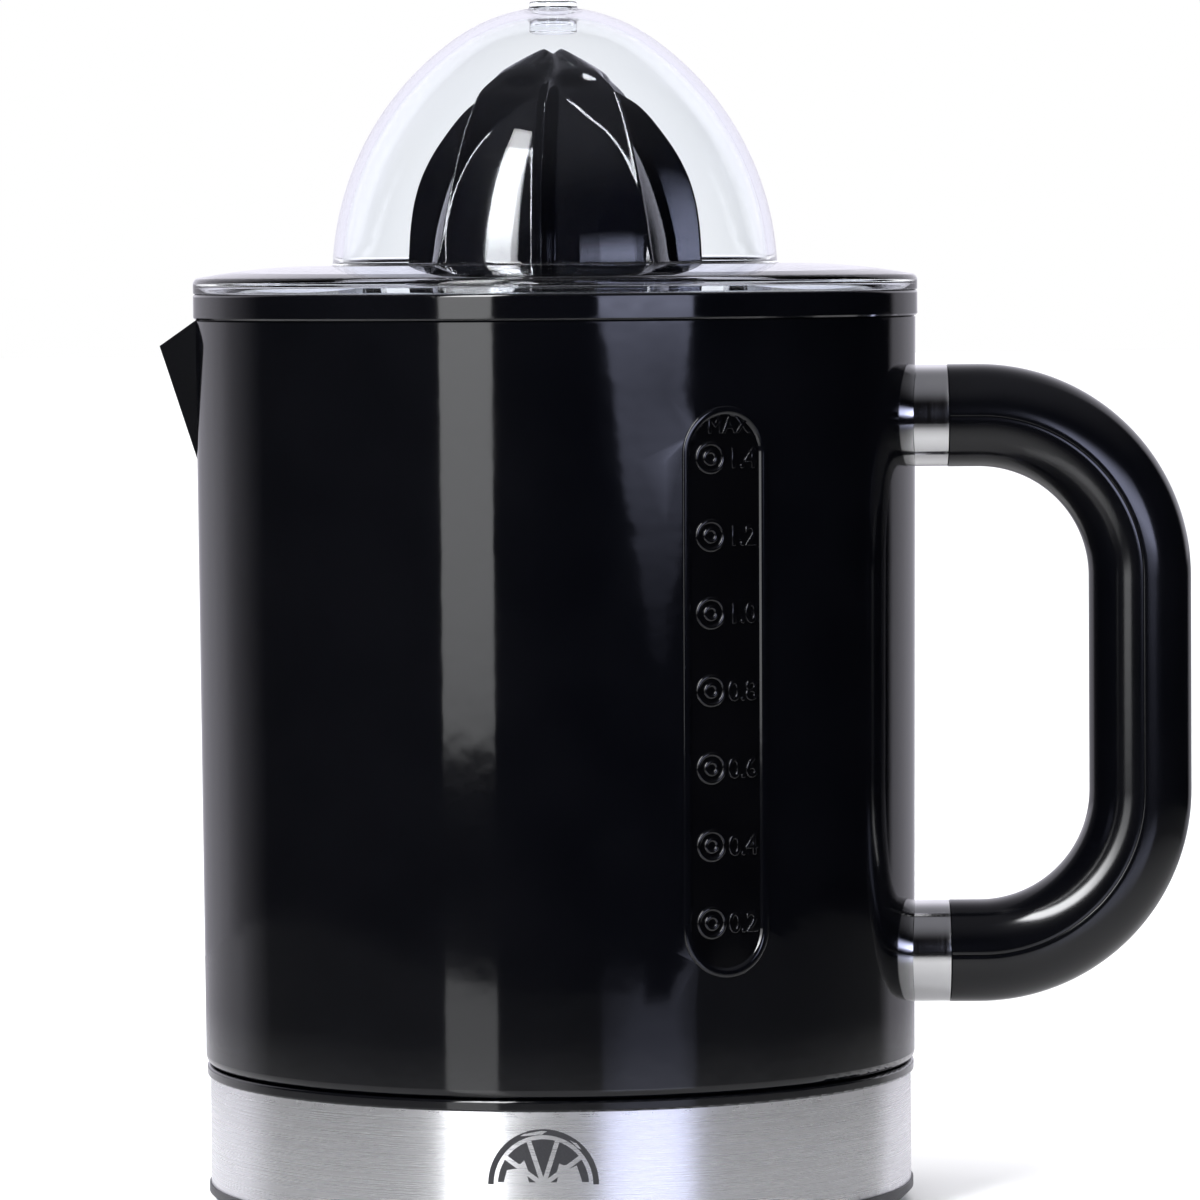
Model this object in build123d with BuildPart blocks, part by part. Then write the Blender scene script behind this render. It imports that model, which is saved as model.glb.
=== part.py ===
"""Electric citrus press: motor base, lift-off jug, strainer, pressing cone and clear dust cover.

Millimetres, +Z up, the table at z = 0 and the jug's axis on Z. The handle points to +X, the spout
to -X, the level window looks to -Y and the mains cord enters at +Y.
"""
from build123d import *
from math import acos, atan2, cos, degrees, hypot, radians, sin, sqrt, tan
import os

os.makedirs("parts", exist_ok=True)

UPRIGHT = (Align.CENTER, Align.CENTER, Align.MIN)

# ---------------------------------------------------------------- driving dimensions
# heights of the stack, from the table up
plate_z = 2.0  # underside of the bottom plate
band_z = 5.0  # lower edge of the steel band
rim_z = 26.3  # upper edge of the steel band, lower face of the base's black rim
seat_z = 28.5  # the jug stands here
plinth_z = 43.6  # top of the plinth inside the jug's hollow foot
floor_z = 46.6  # inner floor of the jug
column_z = 165.0  # top of the jug's centre column
collar_z = 175.0  # jug rim, underside of the strainer's collar
cover_z = 180.0  # top of the collar, underside of the cover
dome_z = 235.86  # top of the dome

# radii
plate_r = 69.6
band_r = 69.2
band_thickness = 1.0
rim_r = 69.8
plinth_r = 66.0
jug_foot_r = 70.0
jug_rim_r = 70.8
collar_r = 71.2
wall = 2.0

# drive
hex_across = 8.0  # drive shaft, across flats
hex_bore_across = 8.16
press_travel = 2.5
running = 0.08  # radial clearance of a running fit
gap = 0.3  # clearance between pieces that pass each other

# handle
handle_r = 10.1
ferrule_r = 10.0
handle_bore_r = 7.9
handle_high_z = 155.1
handle_low_z = 49.3
handle_x = 114.9
handle_bend_r = 31.8
ferrule_end_x = 76.9

# level window
window_azimuth = -62.75  # degrees from +X
window_width = 18.3
window_low_z = 50.7
window_high_z = 158.7
gasket_width = 1.9

# gear train: teeth and modules of the two stages, both of parallel spur gears
PRESSURE = radians(20)
small_teeth = 10
wheel_teeth = 60
output_teeth = 50
fast_module = 0.7
slow_module = 1.0
wheel_addendum = 0.6  # in modules; short on wheels and long on pinions, so no flank undercuts
pinion_addendum = 1.2
root_clearance = 0.25

# motor
rotor_x = 14.0
rotor_y = -34.0
core_low = 10.0
core_high = 22.0
core_left = -30.0
core_right = 26.0
leg_width = 12.0
leg_offset = 14.0  # centre of each leg from the rotor's axis
coil_left = -17.0
coil_right = 1.0


def jug_radius(z):
    """Outer radius of the jug's wall, which widens slightly towards its rim."""
    return jug_foot_r + (jug_rim_r - jug_foot_r) * (z - seat_z) / (collar_z - seat_z)


def circle_crossing(r_from, r_to, x_to, y_to):
    """Point r_from away from the origin and r_to away from (x_to, y_to), on the +X side."""
    reach = hypot(x_to, y_to)
    along = (r_from**2 - r_to**2 + reach**2) / (2 * reach)
    aside = sqrt(r_from**2 - along**2)
    return (along * x_to - aside * y_to) / reach, (along * y_to + aside * x_to) / reach


fast_centres = fast_module * (small_teeth + wheel_teeth) / 2
slow_centres = slow_module * (small_teeth + output_teeth) / 2
idler_x, idler_y = circle_crossing(slow_centres, fast_centres, rotor_x, rotor_y)
output_to_idler = degrees(atan2(idler_y, idler_x))
idler_to_rotor = degrees(atan2(rotor_y - idler_y, rotor_x - idler_x))


def gear_outline(teeth, module, addendum, dedendum, first_tooth):
    """Face of a spur gear with involute flanks; first_tooth is the azimuth of one tooth's centre."""
    thinning = 0.07
    pitch_r = teeth * module / 2
    base_r = pitch_r * cos(PRESSURE)
    root_r = pitch_r - dedendum * module
    tip_r = pitch_r + addendum * module

    def involute(r):
        angle = acos(min(1.0, base_r / r))
        return tan(angle) - angle

    def half_width(r):
        at_pitch = radians(90) / teeth - thinning / pitch_r
        return at_pitch + involute(pitch_r) - involute(max(r, base_r))

    start_r = max(root_r, base_r)
    radii = [root_r] if root_r < base_r else []
    radii += [start_r + (tip_r - start_r) * step / 3 for step in range(4)]
    points = []
    for tooth in range(teeth):
        centre = radians(first_tooth + 360 * tooth / teeth)
        for side, order in ((-1, radii), (1, radii[::-1])):
            for r in order:
                angle = centre + side * half_width(r)
                points.append((r * cos(angle), r * sin(angle)))
    with BuildSketch() as outline:
        with BuildLine():
            Polyline(*points, close=True)
        make_face()
    return outline.sketch


# ---------------------------------------------------------------- base: foot and bottom plate
foot_in_r = 61.5
foot_out_r = 66.5
foot_top = 3.6
base_screw_circle_r = 56.0
boss_r = 4.0
base_screw_r = 1.5
base_screw_top = 16.0
base_screw_head_r = 3.3
base_screw_head_h = 1.8
head_sink = 0.2  # the heads end this far inside the plate
shank_rise = 1.0  # the shanks start this far above the plate's underside
head_taper, countersink_taper = 42, 38
cross_length, cross_width, cross_depth = 3.6, 0.8, 0.9
screw_clearance = 0.2
foot_chamfer = 0.5

with BuildPart() as foot_ring:
    Cylinder(foot_out_r, foot_top, align=UPRIGHT)
    Cylinder(foot_in_r, foot_top, align=UPRIGHT, mode=Mode.SUBTRACT)
    chamfer(foot_ring.edges().group_by(Axis.Z)[0], foot_chamfer)
foot_ring.part.label = "foot_ring"
export_step(foot_ring.part, "parts/foot_ring.step")

# motor posts stand on the plate; the two beside the poles are lower by the bearing bridge
bridge_thickness = 1.6
motor_screw_r = 1.6
motor_screw_spread = 15.5
yoke_screw_x = -24.0
pole_screw_x = 22.0
yoke_screws = [(yoke_screw_x, rotor_y + side * motor_screw_spread) for side in (-1, 1)]
pole_screws = [(pole_screw_x, rotor_y + side * motor_screw_spread) for side in (-1, 1)]
motor_screw_bottom = 3.2

# switch holder, under the drive shaft
holder_screw_x = 15.0
holder_screw_r = 1.2
holder_screw_bottom = 3.0
vent_length = 30.0
vent_width = 2.6
vent_pitch = 6.0
vent_count = 5
vent_x = -5.0
plate_chamfer = 1.4
plate_lip_clear, plate_lip_wall, plate_lip_rise = 0.1, 1.5, 3.0  # lip that centres the housing

with BuildPart(Plane.XY.offset(plate_z)) as bottom_plate:
    Cylinder(plate_r, band_z - plate_z, align=UPRIGHT)
    chamfer(bottom_plate.edges().group_by(Axis.Z)[0], plate_chamfer)
    with BuildSketch(Plane.XY.offset(plate_z)):
        Circle(foot_out_r)
        Circle(foot_in_r, mode=Mode.SUBTRACT)
    extrude(amount=foot_top - plate_z, mode=Mode.SUBTRACT)
    with BuildSketch(Plane.XY.offset(band_z)):
        Circle(plinth_r - plate_lip_clear)
        Circle(plinth_r - plate_lip_clear - plate_lip_wall, mode=Mode.SUBTRACT)
    extrude(amount=plate_lip_rise)
    with BuildSketch(Plane.XY.offset(band_z)):
        with Locations(*yoke_screws):
            Circle(boss_r)
    extrude(amount=core_low - band_z)
    with BuildSketch(Plane.XY.offset(band_z)):
        with Locations(*pole_screws):
            Circle(boss_r)
    extrude(amount=core_low - bridge_thickness - band_z)
    with BuildSketch(Plane.XY.offset(motor_screw_bottom)):
        with Locations(*yoke_screws, *pole_screws):
            Circle(motor_screw_r)
    extrude(amount=core_low, mode=Mode.SUBTRACT)
    with BuildSketch(Plane.XY.offset(holder_screw_bottom)):
        with Locations((-holder_screw_x, 0), (holder_screw_x, 0)):
            Circle(holder_screw_r)
    extrude(amount=band_z, mode=Mode.SUBTRACT)
    with BuildSketch(Plane.XY.offset(plate_z)):
        with PolarLocations(base_screw_circle_r, 4, start_angle=45):
            Circle(base_screw_r + screw_clearance)
        with Locations((vent_x, rotor_y)):
            with GridLocations(0, vent_pitch, 1, vent_count):
                SlotOverall(vent_length, vent_width)
    extrude(amount=band_z, mode=Mode.SUBTRACT)
    with BuildSketch(Plane.XY.offset(plate_z)):
        with PolarLocations(base_screw_circle_r, 4, start_angle=45):
            Circle(base_screw_head_r + screw_clearance)
    extrude(amount=base_screw_head_h + head_sink, taper=countersink_taper, mode=Mode.SUBTRACT)
bottom_plate.part.label = "bottom_plate"
export_step(bottom_plate.part, "parts/bottom_plate.step")

with BuildPart() as base_screws:
    with BuildSketch(Plane.XY.offset(plate_z + head_sink)):
        with PolarLocations(base_screw_circle_r, 4, start_angle=45):
            Circle(base_screw_head_r)
    extrude(amount=base_screw_head_h, taper=head_taper)
    with BuildSketch(Plane.XY.offset(plate_z + shank_rise)):
        with PolarLocations(base_screw_circle_r, 4, start_angle=45):
            Circle(base_screw_r)
    extrude(amount=base_screw_top - plate_z - shank_rise)
    with BuildSketch(Plane.XY.offset(plate_z + head_sink)):
        with PolarLocations(base_screw_circle_r, 4, start_angle=45):
            Rectangle(cross_length, cross_width)
            Rectangle(cross_width, cross_length)
    extrude(amount=cross_depth, mode=Mode.SUBTRACT)
base_screws.part.label = "base_screws"
export_step(base_screws.part, "parts/base_screws.step")

# ---------------------------------------------------------------- base: housing and band
deck_z = plinth_z - wall
hub_r = 11.0
hub_z = 52.5
bush_out_r = 8.5
journal_r = 6.5
journal_top = 49.8
plate_boss_z = 29.0  # the gear plate is screwed against these bosses
gear_plate_thickness = 2.0
plate_screw_r = 1.3
plate_screws = [(-32.0, 6.0), (-24.0, -26.0), (48.0, 18.0), (12.0, 34.0)]
plate_screw_length = 9.0
blind_depth = 1.0  # screw holes run on this far past the screws' ends
rim_shelf, rim_round = 1.5, 0.5
idler_pin_r = 1.5
idler_pin_top = 43.0
inlet_z = 15.0
inlet_body_r = 5.4
inlet_bore_r = 3.3
inlet_flange_r = 7.0
inlet_inner_y = 61.0
inlet_outer_y = 71.6
inlet_seat, inlet_round = 1.0, 0.6
inlet_plane = Plane(origin=(0, 0, inlet_z), x_dir=(1, 0, 0), z_dir=(0, 1, 0))

with BuildPart() as base_housing:
    with BuildSketch(Plane.XZ):
        with BuildLine():
            Polyline(
                (plinth_r, band_z),
                (band_r - band_thickness, band_z),
                (band_r - band_thickness, rim_z),
                (rim_r, rim_z),
                (rim_r, seat_z),
                (plinth_r, seat_z),
                (plinth_r, plinth_z),
                (hub_r, plinth_z),
                (hub_r, hub_z),
                (bush_out_r, hub_z),
                (bush_out_r, deck_z),
                (plinth_r - wall, deck_z),
                (plinth_r - wall, rim_z - rim_shelf),
                (plinth_r, rim_z - rim_shelf),
                close=True,
            )
        make_face()
    revolve(axis=Axis.Z)
    with BuildSketch(Plane.XY.offset(band_z)):
        with PolarLocations(base_screw_circle_r, 4, start_angle=45):
            Circle(boss_r)
    extrude(amount=deck_z - band_z)
    with BuildSketch(Plane.XY.offset(plate_boss_z)):
        with Locations(*plate_screws):
            Circle(boss_r)
    extrude(amount=deck_z - plate_boss_z)
    with BuildSketch(Plane.XY.offset(band_z)):
        with PolarLocations(base_screw_circle_r, 4, start_angle=45):
            Circle(base_screw_r)
    extrude(amount=base_screw_top + blind_depth - band_z, mode=Mode.SUBTRACT)
    with BuildSketch(Plane.XY.offset(plate_boss_z)):
        with Locations(*plate_screws):
            Circle(plate_screw_r)
    extrude(amount=plate_screw_length - gear_plate_thickness + blind_depth, mode=Mode.SUBTRACT)
    with BuildSketch(Plane.XY.offset(deck_z)):
        with Locations((idler_x, idler_y)):
            Circle(idler_pin_r)
    extrude(amount=idler_pin_top - deck_z, mode=Mode.SUBTRACT)
    with BuildSketch(inlet_plane):
        Circle(inlet_body_r)
    extrude(amount=collar_r, mode=Mode.SUBTRACT)
    fillet(base_housing.edges().filter_by(GeomType.CIRCLE).group_by(SortBy.RADIUS)[-1], rim_round)
base_housing.part.label = "base_housing"
export_step(base_housing.part, "parts/base_housing.step")

with BuildPart() as steel_band:
    with BuildSketch(Plane.XY.offset(band_z)):
        Circle(band_r)
        Circle(band_r - band_thickness, mode=Mode.SUBTRACT)
    extrude(amount=rim_z - band_z)
    with BuildSketch(inlet_plane):
        Circle(inlet_body_r)
    extrude(amount=collar_r, mode=Mode.SUBTRACT)
steel_band.part.label = "steel_band"
export_step(steel_band.part, "parts/steel_band.step")

with BuildPart() as cord_inlet:
    with BuildSketch(inlet_plane.offset(band_r - inlet_seat)):
        Circle(inlet_flange_r)
    extrude(amount=inlet_outer_y - band_r + inlet_seat)
    with BuildSketch(Plane.XY.offset(band_z)):
        Circle(band_r)
    extrude(amount=rim_z - band_z, mode=Mode.SUBTRACT)
    with BuildSketch(inlet_plane.offset(inlet_inner_y)):
        Circle(inlet_body_r)
    extrude(amount=band_r - inlet_inner_y)
    with BuildSketch(inlet_plane.offset(inlet_inner_y)):
        Circle(inlet_bore_r)
    extrude(amount=inlet_outer_y - inlet_inner_y, mode=Mode.SUBTRACT)
    fillet(cord_inlet.edges().group_by(Axis.Y)[-1].sort_by(SortBy.RADIUS)[-1], inlet_round)
cord_inlet.part.label = "cord_inlet"
export_step(cord_inlet.part, "parts/cord_inlet.step")

# ---------------------------------------------------------------- base: gear train
with BuildPart(Plane.XY.offset(deck_z)) as output_bush:
    Cylinder(bush_out_r, journal_top - deck_z, align=UPRIGHT)
    Cylinder(journal_r + running, journal_top - deck_z, align=UPRIGHT, mode=Mode.SUBTRACT)
output_bush.part.label = "output_bush"
export_step(output_bush.part, "parts/output_bush.step")

seal_bore_r = 5.0
seal_lip = 0.8
with BuildPart(Plane.XY.offset(journal_top + gap)) as shaft_seal:
    Cylinder(bush_out_r, hub_z - journal_top - gap, align=UPRIGHT)
    Cylinder(seal_bore_r, hub_z - journal_top - gap, align=UPRIGHT, mode=Mode.SUBTRACT)
    chamfer(shaft_seal.edges().group_by(Axis.Z)[-1].sort_by(SortBy.RADIUS)[0], seal_lip)
shaft_seal.part.label = "shaft_seal"
export_step(shaft_seal.part, "parts/shaft_seal.step")

gear_plate_z = plate_boss_z - gear_plate_thickness
rotor_hole_r = 4.0
plate_lug_r = 6.0
with BuildPart() as gear_plate:
    with BuildSketch(Plane.XY.offset(gear_plate_z)):
        with Locations(*plate_screws, (rotor_x, rotor_y)):
            Circle(plate_lug_r)
        make_hull()
        Circle(journal_r + running, mode=Mode.SUBTRACT)
        with Locations((rotor_x, rotor_y)):
            Circle(rotor_hole_r, mode=Mode.SUBTRACT)
        with Locations((idler_x, idler_y)):
            Circle(idler_pin_r, mode=Mode.SUBTRACT)
        with Locations(*plate_screws):
            Circle(plate_screw_r, mode=Mode.SUBTRACT)
    extrude(amount=gear_plate_thickness)
gear_plate.part.label = "gear_plate"
export_step(gear_plate.part, "parts/gear_plate.step")

plate_screw_head_r = 2.8
plate_screw_head_h = 1.6
with BuildPart() as gear_plate_screws:
    with BuildSketch(Plane.XY.offset(gear_plate_z - plate_screw_head_h)):
        with Locations(*plate_screws):
            Circle(plate_screw_head_r)
    extrude(amount=plate_screw_head_h)
    with BuildSketch(Plane.XY.offset(gear_plate_z)):
        with Locations(*plate_screws):
            Circle(plate_screw_r)
    extrude(amount=plate_screw_length)
gear_plate_screws.part.label = "gear_plate_screws"
export_step(gear_plate_screws.part, "parts/gear_plate_screws.step")

with BuildPart() as idler_pin:
    with BuildSketch(Plane.XY.offset(gear_plate_z)):
        with Locations((idler_x, idler_y)):
            Circle(idler_pin_r)
    extrude(amount=idler_pin_top - gear_plate_z)
idler_pin.part.label = "idler_pin"
export_step(idler_pin.part, "parts/idler_pin.step")

wheel_z = 30.5
wheel_thickness = 4.5
slow_pinion_top = 40.6
idler_hub_r = 6.0
web_out_r, web_in_r, web_recess = 19.5, 8.5, 1.4  # ring recess that lightens the wheel
with BuildPart() as idler_gear:
    with BuildSketch(Plane.XY.offset(wheel_z)):
        with Locations((idler_x, idler_y)):
            add(gear_outline(wheel_teeth, fast_module, wheel_addendum,
                             pinion_addendum + root_clearance, idler_to_rotor))
    extrude(amount=wheel_thickness)
    with BuildSketch(Plane.XY.offset(wheel_z + wheel_thickness)):
        with Locations((idler_x, idler_y)):
            add(gear_outline(small_teeth, slow_module, pinion_addendum,
                             wheel_addendum + root_clearance,
                             output_to_idler + 180 + 180 / small_teeth))
    extrude(amount=slow_pinion_top - wheel_z - wheel_thickness)
    with BuildSketch(Plane.XY.offset(plate_boss_z + gap)):
        with Locations((idler_x, idler_y)):
            Circle(idler_hub_r)
    extrude(amount=wheel_z - plate_boss_z - gap)
    with BuildSketch(Plane.XY.offset(wheel_z + wheel_thickness)):
        with Locations((idler_x, idler_y)):
            Circle(web_out_r)
            Circle(web_in_r, mode=Mode.SUBTRACT)
    extrude(amount=-web_recess, mode=Mode.SUBTRACT)
    with BuildSketch(Plane.XY.offset(plate_boss_z)):
        with Locations((idler_x, idler_y)):
            Circle(idler_pin_r + running)
    extrude(amount=deck_z - plate_boss_z, mode=Mode.SUBTRACT)
idler_gear.part.label = "idler_gear"
export_step(idler_gear.part, "parts/idler_gear.step")

output_z = 35.8
output_thickness = 4.6
output_hub_r = 8.0
output_web_out_r, output_web_in_r = 20.0, 12.0
journal_bottom = 26.6
with BuildPart() as output_gear:
    with BuildSketch(Plane.XY.offset(output_z)):
        add(gear_outline(output_teeth, slow_module, wheel_addendum,
                         pinion_addendum + root_clearance, output_to_idler))
    extrude(amount=output_thickness)
    with BuildSketch(Plane.XY.offset(output_z + output_thickness)):
        Circle(output_web_out_r)
        Circle(output_web_in_r, mode=Mode.SUBTRACT)
    extrude(amount=-web_recess, mode=Mode.SUBTRACT)
    with BuildSketch(Plane.XY.offset(output_z)):
        Circle(output_web_out_r)
        Circle(output_web_in_r, mode=Mode.SUBTRACT)
    extrude(amount=web_recess, mode=Mode.SUBTRACT)
    with BuildSketch(Plane.XY.offset(plate_boss_z + gap)):
        Circle(output_hub_r)
    extrude(amount=deck_z - plate_boss_z - 2 * gap)
    with BuildSketch(Plane.XY.offset(journal_bottom)):
        Circle(journal_r)
    extrude(amount=journal_top - journal_bottom)
    with BuildSketch(Plane.XY.offset(journal_bottom)):
        RegularPolygon(hex_bore_across / 2, 6, major_radius=False)
    extrude(amount=journal_top - journal_bottom, mode=Mode.SUBTRACT)
output_gear.part.label = "output_gear"
export_step(output_gear.part, "parts/output_gear.step")

# ---------------------------------------------------------------- drive shaft, spring and switch
foot_bottom = 22.3
shaft_foot_r = 7.0
shaft_top = 196.0
shaft_chamfer = 0.8
with BuildPart() as drive_shaft:
    with BuildSketch(Plane.XY.offset(foot_bottom)):
        RegularPolygon(hex_across / 2, 6, major_radius=False)
    extrude(amount=shaft_top - foot_bottom)
    chamfer(drive_shaft.edges().group_by(Axis.Z)[-1], shaft_chamfer)
    with BuildSketch(Plane.XY.offset(foot_bottom)):
        Circle(shaft_foot_r)
    extrude(amount=journal_bottom - gap - foot_bottom)
drive_shaft.part.label = "drive_shaft"
export_step(drive_shaft.part, "parts/drive_shaft.step")

holder_top = 15.5
spring_r = 5.2
wire_r = 0.5
spring_turns = 3
spring_height = foot_bottom - holder_top - 2 * wire_r
with BuildPart() as return_spring:
    with BuildLine(Plane.XY.offset(holder_top + wire_r)):
        coil_path = Helix(spring_height / spring_turns, spring_height, spring_r)
    with BuildSketch(Plane(origin=coil_path @ 0, z_dir=coil_path % 0)):
        Circle(wire_r)
    sweep(path=coil_path, is_frenet=True)
return_spring.part.label = "return_spring"
export_step(return_spring.part, "parts/return_spring.step")

switch_length = 20.0
switch_width = 10.0
switch_bottom = 5.2
switch_top = 13.2
plunger_r = 2.0
plunger_bottom = 12.0
plunger_play, plunger_round = 0.1, 0.8
switch_fit = 0.4
holder_wall = 2.5
ear_end, ear_width, ear_height = 3.0, 8.0, 2.0  # screw ears of the switch holder
holder_screw_head_r, holder_screw_head_h = 2.2, 1.6
with BuildPart() as switch_holder:
    with BuildSketch(Plane.XY.offset(band_z)):
        Rectangle(switch_length + 2 * holder_wall, switch_width + 2 * holder_wall)
    extrude(amount=holder_top - band_z)
    with BuildSketch(Plane.XY.offset(band_z)):
        Rectangle(2 * (holder_screw_x + ear_end), ear_width)
    extrude(amount=ear_height)
    with BuildSketch(Plane.XY.offset(band_z)):
        Rectangle(switch_length + switch_fit, switch_width + switch_fit)
    extrude(amount=switch_top + gap - band_z, mode=Mode.SUBTRACT)
    with BuildSketch(Plane.XY.offset(band_z)):
        Circle(plunger_r + gap)
        with Locations((-holder_screw_x, 0), (holder_screw_x, 0)):
            Circle(holder_screw_r)
    extrude(amount=holder_top - band_z, mode=Mode.SUBTRACT)
switch_holder.part.label = "switch_holder"
export_step(switch_holder.part, "parts/switch_holder.step")

with BuildPart() as holder_screws:
    with BuildSketch(Plane.XY.offset(band_z + ear_height)):
        with Locations((-holder_screw_x, 0), (holder_screw_x, 0)):
            Circle(holder_screw_head_r)
    extrude(amount=holder_screw_head_h)
    with BuildSketch(Plane.XY.offset(holder_screw_bottom)):
        with Locations((-holder_screw_x, 0), (holder_screw_x, 0)):
            Circle(holder_screw_r)
    extrude(amount=band_z + ear_height - holder_screw_bottom)
holder_screws.part.label = "holder_screws"
export_step(holder_screws.part, "parts/holder_screws.step")

with BuildPart() as switch_body:
    with BuildSketch(Plane.XY.offset(switch_bottom)):
        Rectangle(switch_length, switch_width)
    extrude(amount=switch_top - switch_bottom)
    with BuildSketch(Plane.XY.offset(plunger_bottom - press_travel - gap)):
        Circle(plunger_r + running)
    extrude(amount=holder_top, mode=Mode.SUBTRACT)
switch_body.part.label = "switch_body"
export_step(switch_body.part, "parts/switch_body.step")

with BuildPart() as switch_plunger:
    with BuildSketch(Plane.XY.offset(plunger_bottom)):
        Circle(plunger_r)
    extrude(amount=foot_bottom - plunger_play - plunger_bottom)
    fillet(switch_plunger.edges().group_by(Axis.Z)[-1], plunger_round)
switch_plunger.part.label = "switch_plunger"
export_step(switch_plunger.part, "parts/switch_plunger.step")

# ---------------------------------------------------------------- motor: U core, two coils, magnet rotor
core_width = 2 * leg_offset + leg_width
bore_r = 11.8
pole_slot = 3.0
core_middle_x = (core_left + core_right) / 2
window_left, window_right = core_left + leg_width, coil_right + 1  # opening of the U
motor_screw_fit = 0.1
with BuildPart() as motor_core:
    with BuildSketch(Plane.XY.offset(core_low)):
        with Locations((core_middle_x, rotor_y)):
            Rectangle(core_right - core_left, core_width)
        with Locations(((window_left + window_right) / 2, rotor_y)):
            Rectangle(window_right - window_left, core_width - 2 * leg_width, mode=Mode.SUBTRACT)
        with Locations((core_right, rotor_y)):
            Rectangle(2 * (core_right - window_right), pole_slot, mode=Mode.SUBTRACT)
        with Locations((rotor_x, rotor_y)):
            Circle(bore_r, mode=Mode.SUBTRACT)
        with Locations(*yoke_screws, *pole_screws):
            Circle(motor_screw_r + motor_screw_fit, mode=Mode.SUBTRACT)
    extrude(amount=core_high - core_low)
motor_core.part.label = "motor_core"
export_step(motor_core.part, "parts/motor_core.step")

coil_length = coil_right - coil_left
core_mid_z = (core_low + core_high) / 2
leg_height = core_high - core_low
bobbin_wall = 1.0
bobbin_height = 20.0
bobbin_width = 22.0
bobbin_bore_width, bobbin_bore_height = leg_width + 0.4, leg_height + 0.4
bobbin_tube_width = bobbin_bore_width + 2 * bobbin_wall
bobbin_tube_height = bobbin_bore_height + 2 * bobbin_wall
coil_inset, coil_round = 0.5, 3.0
leg_centres = [(rotor_y - leg_offset, core_mid_z), (rotor_y + leg_offset, core_mid_z)]
coil_plane = Plane(origin=(coil_left, 0, 0), x_dir=(0, 1, 0), z_dir=(1, 0, 0))
with BuildPart() as coil_bobbins:
    with BuildSketch(coil_plane):
        with Locations(*leg_centres):
            Rectangle(bobbin_width, bobbin_height)
    extrude(amount=bobbin_wall)
    with BuildSketch(coil_plane.offset(coil_length - bobbin_wall)):
        with Locations(*leg_centres):
            Rectangle(bobbin_width, bobbin_height)
    extrude(amount=bobbin_wall)
    with BuildSketch(coil_plane):
        with Locations(*leg_centres):
            Rectangle(bobbin_tube_width, bobbin_tube_height)
    extrude(amount=coil_length)
    with BuildSketch(coil_plane):
        with Locations(*leg_centres):
            Rectangle(bobbin_bore_width, bobbin_bore_height)
    extrude(amount=coil_length, mode=Mode.SUBTRACT)
coil_bobbins.part.label = "coil_bobbins"
export_step(coil_bobbins.part, "parts/coil_bobbins.step")

with BuildPart() as motor_coils:
    with BuildSketch(coil_plane.offset(bobbin_wall)):
        with Locations(*leg_centres):
            RectangleRounded(bobbin_width - 2 * coil_inset, bobbin_height - 2 * coil_inset, coil_round)
            Rectangle(bobbin_tube_width, bobbin_tube_height, mode=Mode.SUBTRACT)
    extrude(amount=coil_length - 2 * bobbin_wall)
motor_coils.part.label = "motor_coils"
export_step(motor_coils.part, "parts/motor_coils.step")

bridge_x = 17.0
bridge_length = 17.0
rotor_shaft_r = 1.5
bearing_r = 4.2
bearing_rise = 2.4
bridge_width, bridge_round = core_width - 1, 2.0


def bridge_outline():
    """Strap across the poles with the rotor's bearing bore and two screw holes."""
    with BuildSketch() as outline:
        with Locations((bridge_x, rotor_y)):
            RectangleRounded(bridge_length, bridge_width, bridge_round)
        with Locations((rotor_x, rotor_y)):
            Circle(rotor_shaft_r + running, mode=Mode.SUBTRACT)
        with Locations(*pole_screws):
            Circle(motor_screw_r + motor_screw_fit, mode=Mode.SUBTRACT)
    return outline.sketch


def bearing_outline():
    """Ring of the rotor's bearing boss."""
    with BuildSketch() as outline:
        with Locations((rotor_x, rotor_y)):
            Circle(bearing_r)
            Circle(rotor_shaft_r + running, mode=Mode.SUBTRACT)
    return outline.sketch


with BuildPart() as upper_bridge:
    with BuildSketch(Plane.XY.offset(core_high)):
        add(bridge_outline())
    extrude(amount=bridge_thickness)
    with BuildSketch(Plane.XY.offset(core_high + bridge_thickness)):
        add(bearing_outline())
    extrude(amount=bearing_rise)
upper_bridge.part.label = "upper_bridge"
export_step(upper_bridge.part, "parts/upper_bridge.step")

with BuildPart() as lower_bridge:
    with BuildSketch(Plane.XY.offset(core_low)):
        add(bridge_outline())
    extrude(amount=-bridge_thickness)
    with BuildSketch(Plane.XY.offset(core_low - bridge_thickness)):
        add(bearing_outline())
    extrude(amount=-bearing_rise)
lower_bridge.part.label = "lower_bridge"
export_step(lower_bridge.part, "parts/lower_bridge.step")

magnet_r = 10.8
magnet_inset = 0.8
rotor_bottom = 6.2
pinion_z = 30.2
pinion_top = 35.2
with BuildPart() as rotor_magnet:
    with BuildSketch(Plane.XY.offset(core_low + magnet_inset)):
        with Locations((rotor_x, rotor_y)):
            Circle(magnet_r)
            Circle(rotor_shaft_r, mode=Mode.SUBTRACT)
    extrude(amount=core_high - core_low - 2 * magnet_inset)
rotor_magnet.part.label = "rotor_magnet"
export_step(rotor_magnet.part, "parts/rotor_magnet.step")

with BuildPart() as rotor_shaft:
    with BuildSketch(Plane.XY.offset(rotor_bottom)):
        with Locations((rotor_x, rotor_y)):
            Circle(rotor_shaft_r)
    extrude(amount=pinion_top - rotor_bottom)
rotor_shaft.part.label = "rotor_shaft"
export_step(rotor_shaft.part, "parts/rotor_shaft.step")

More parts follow.
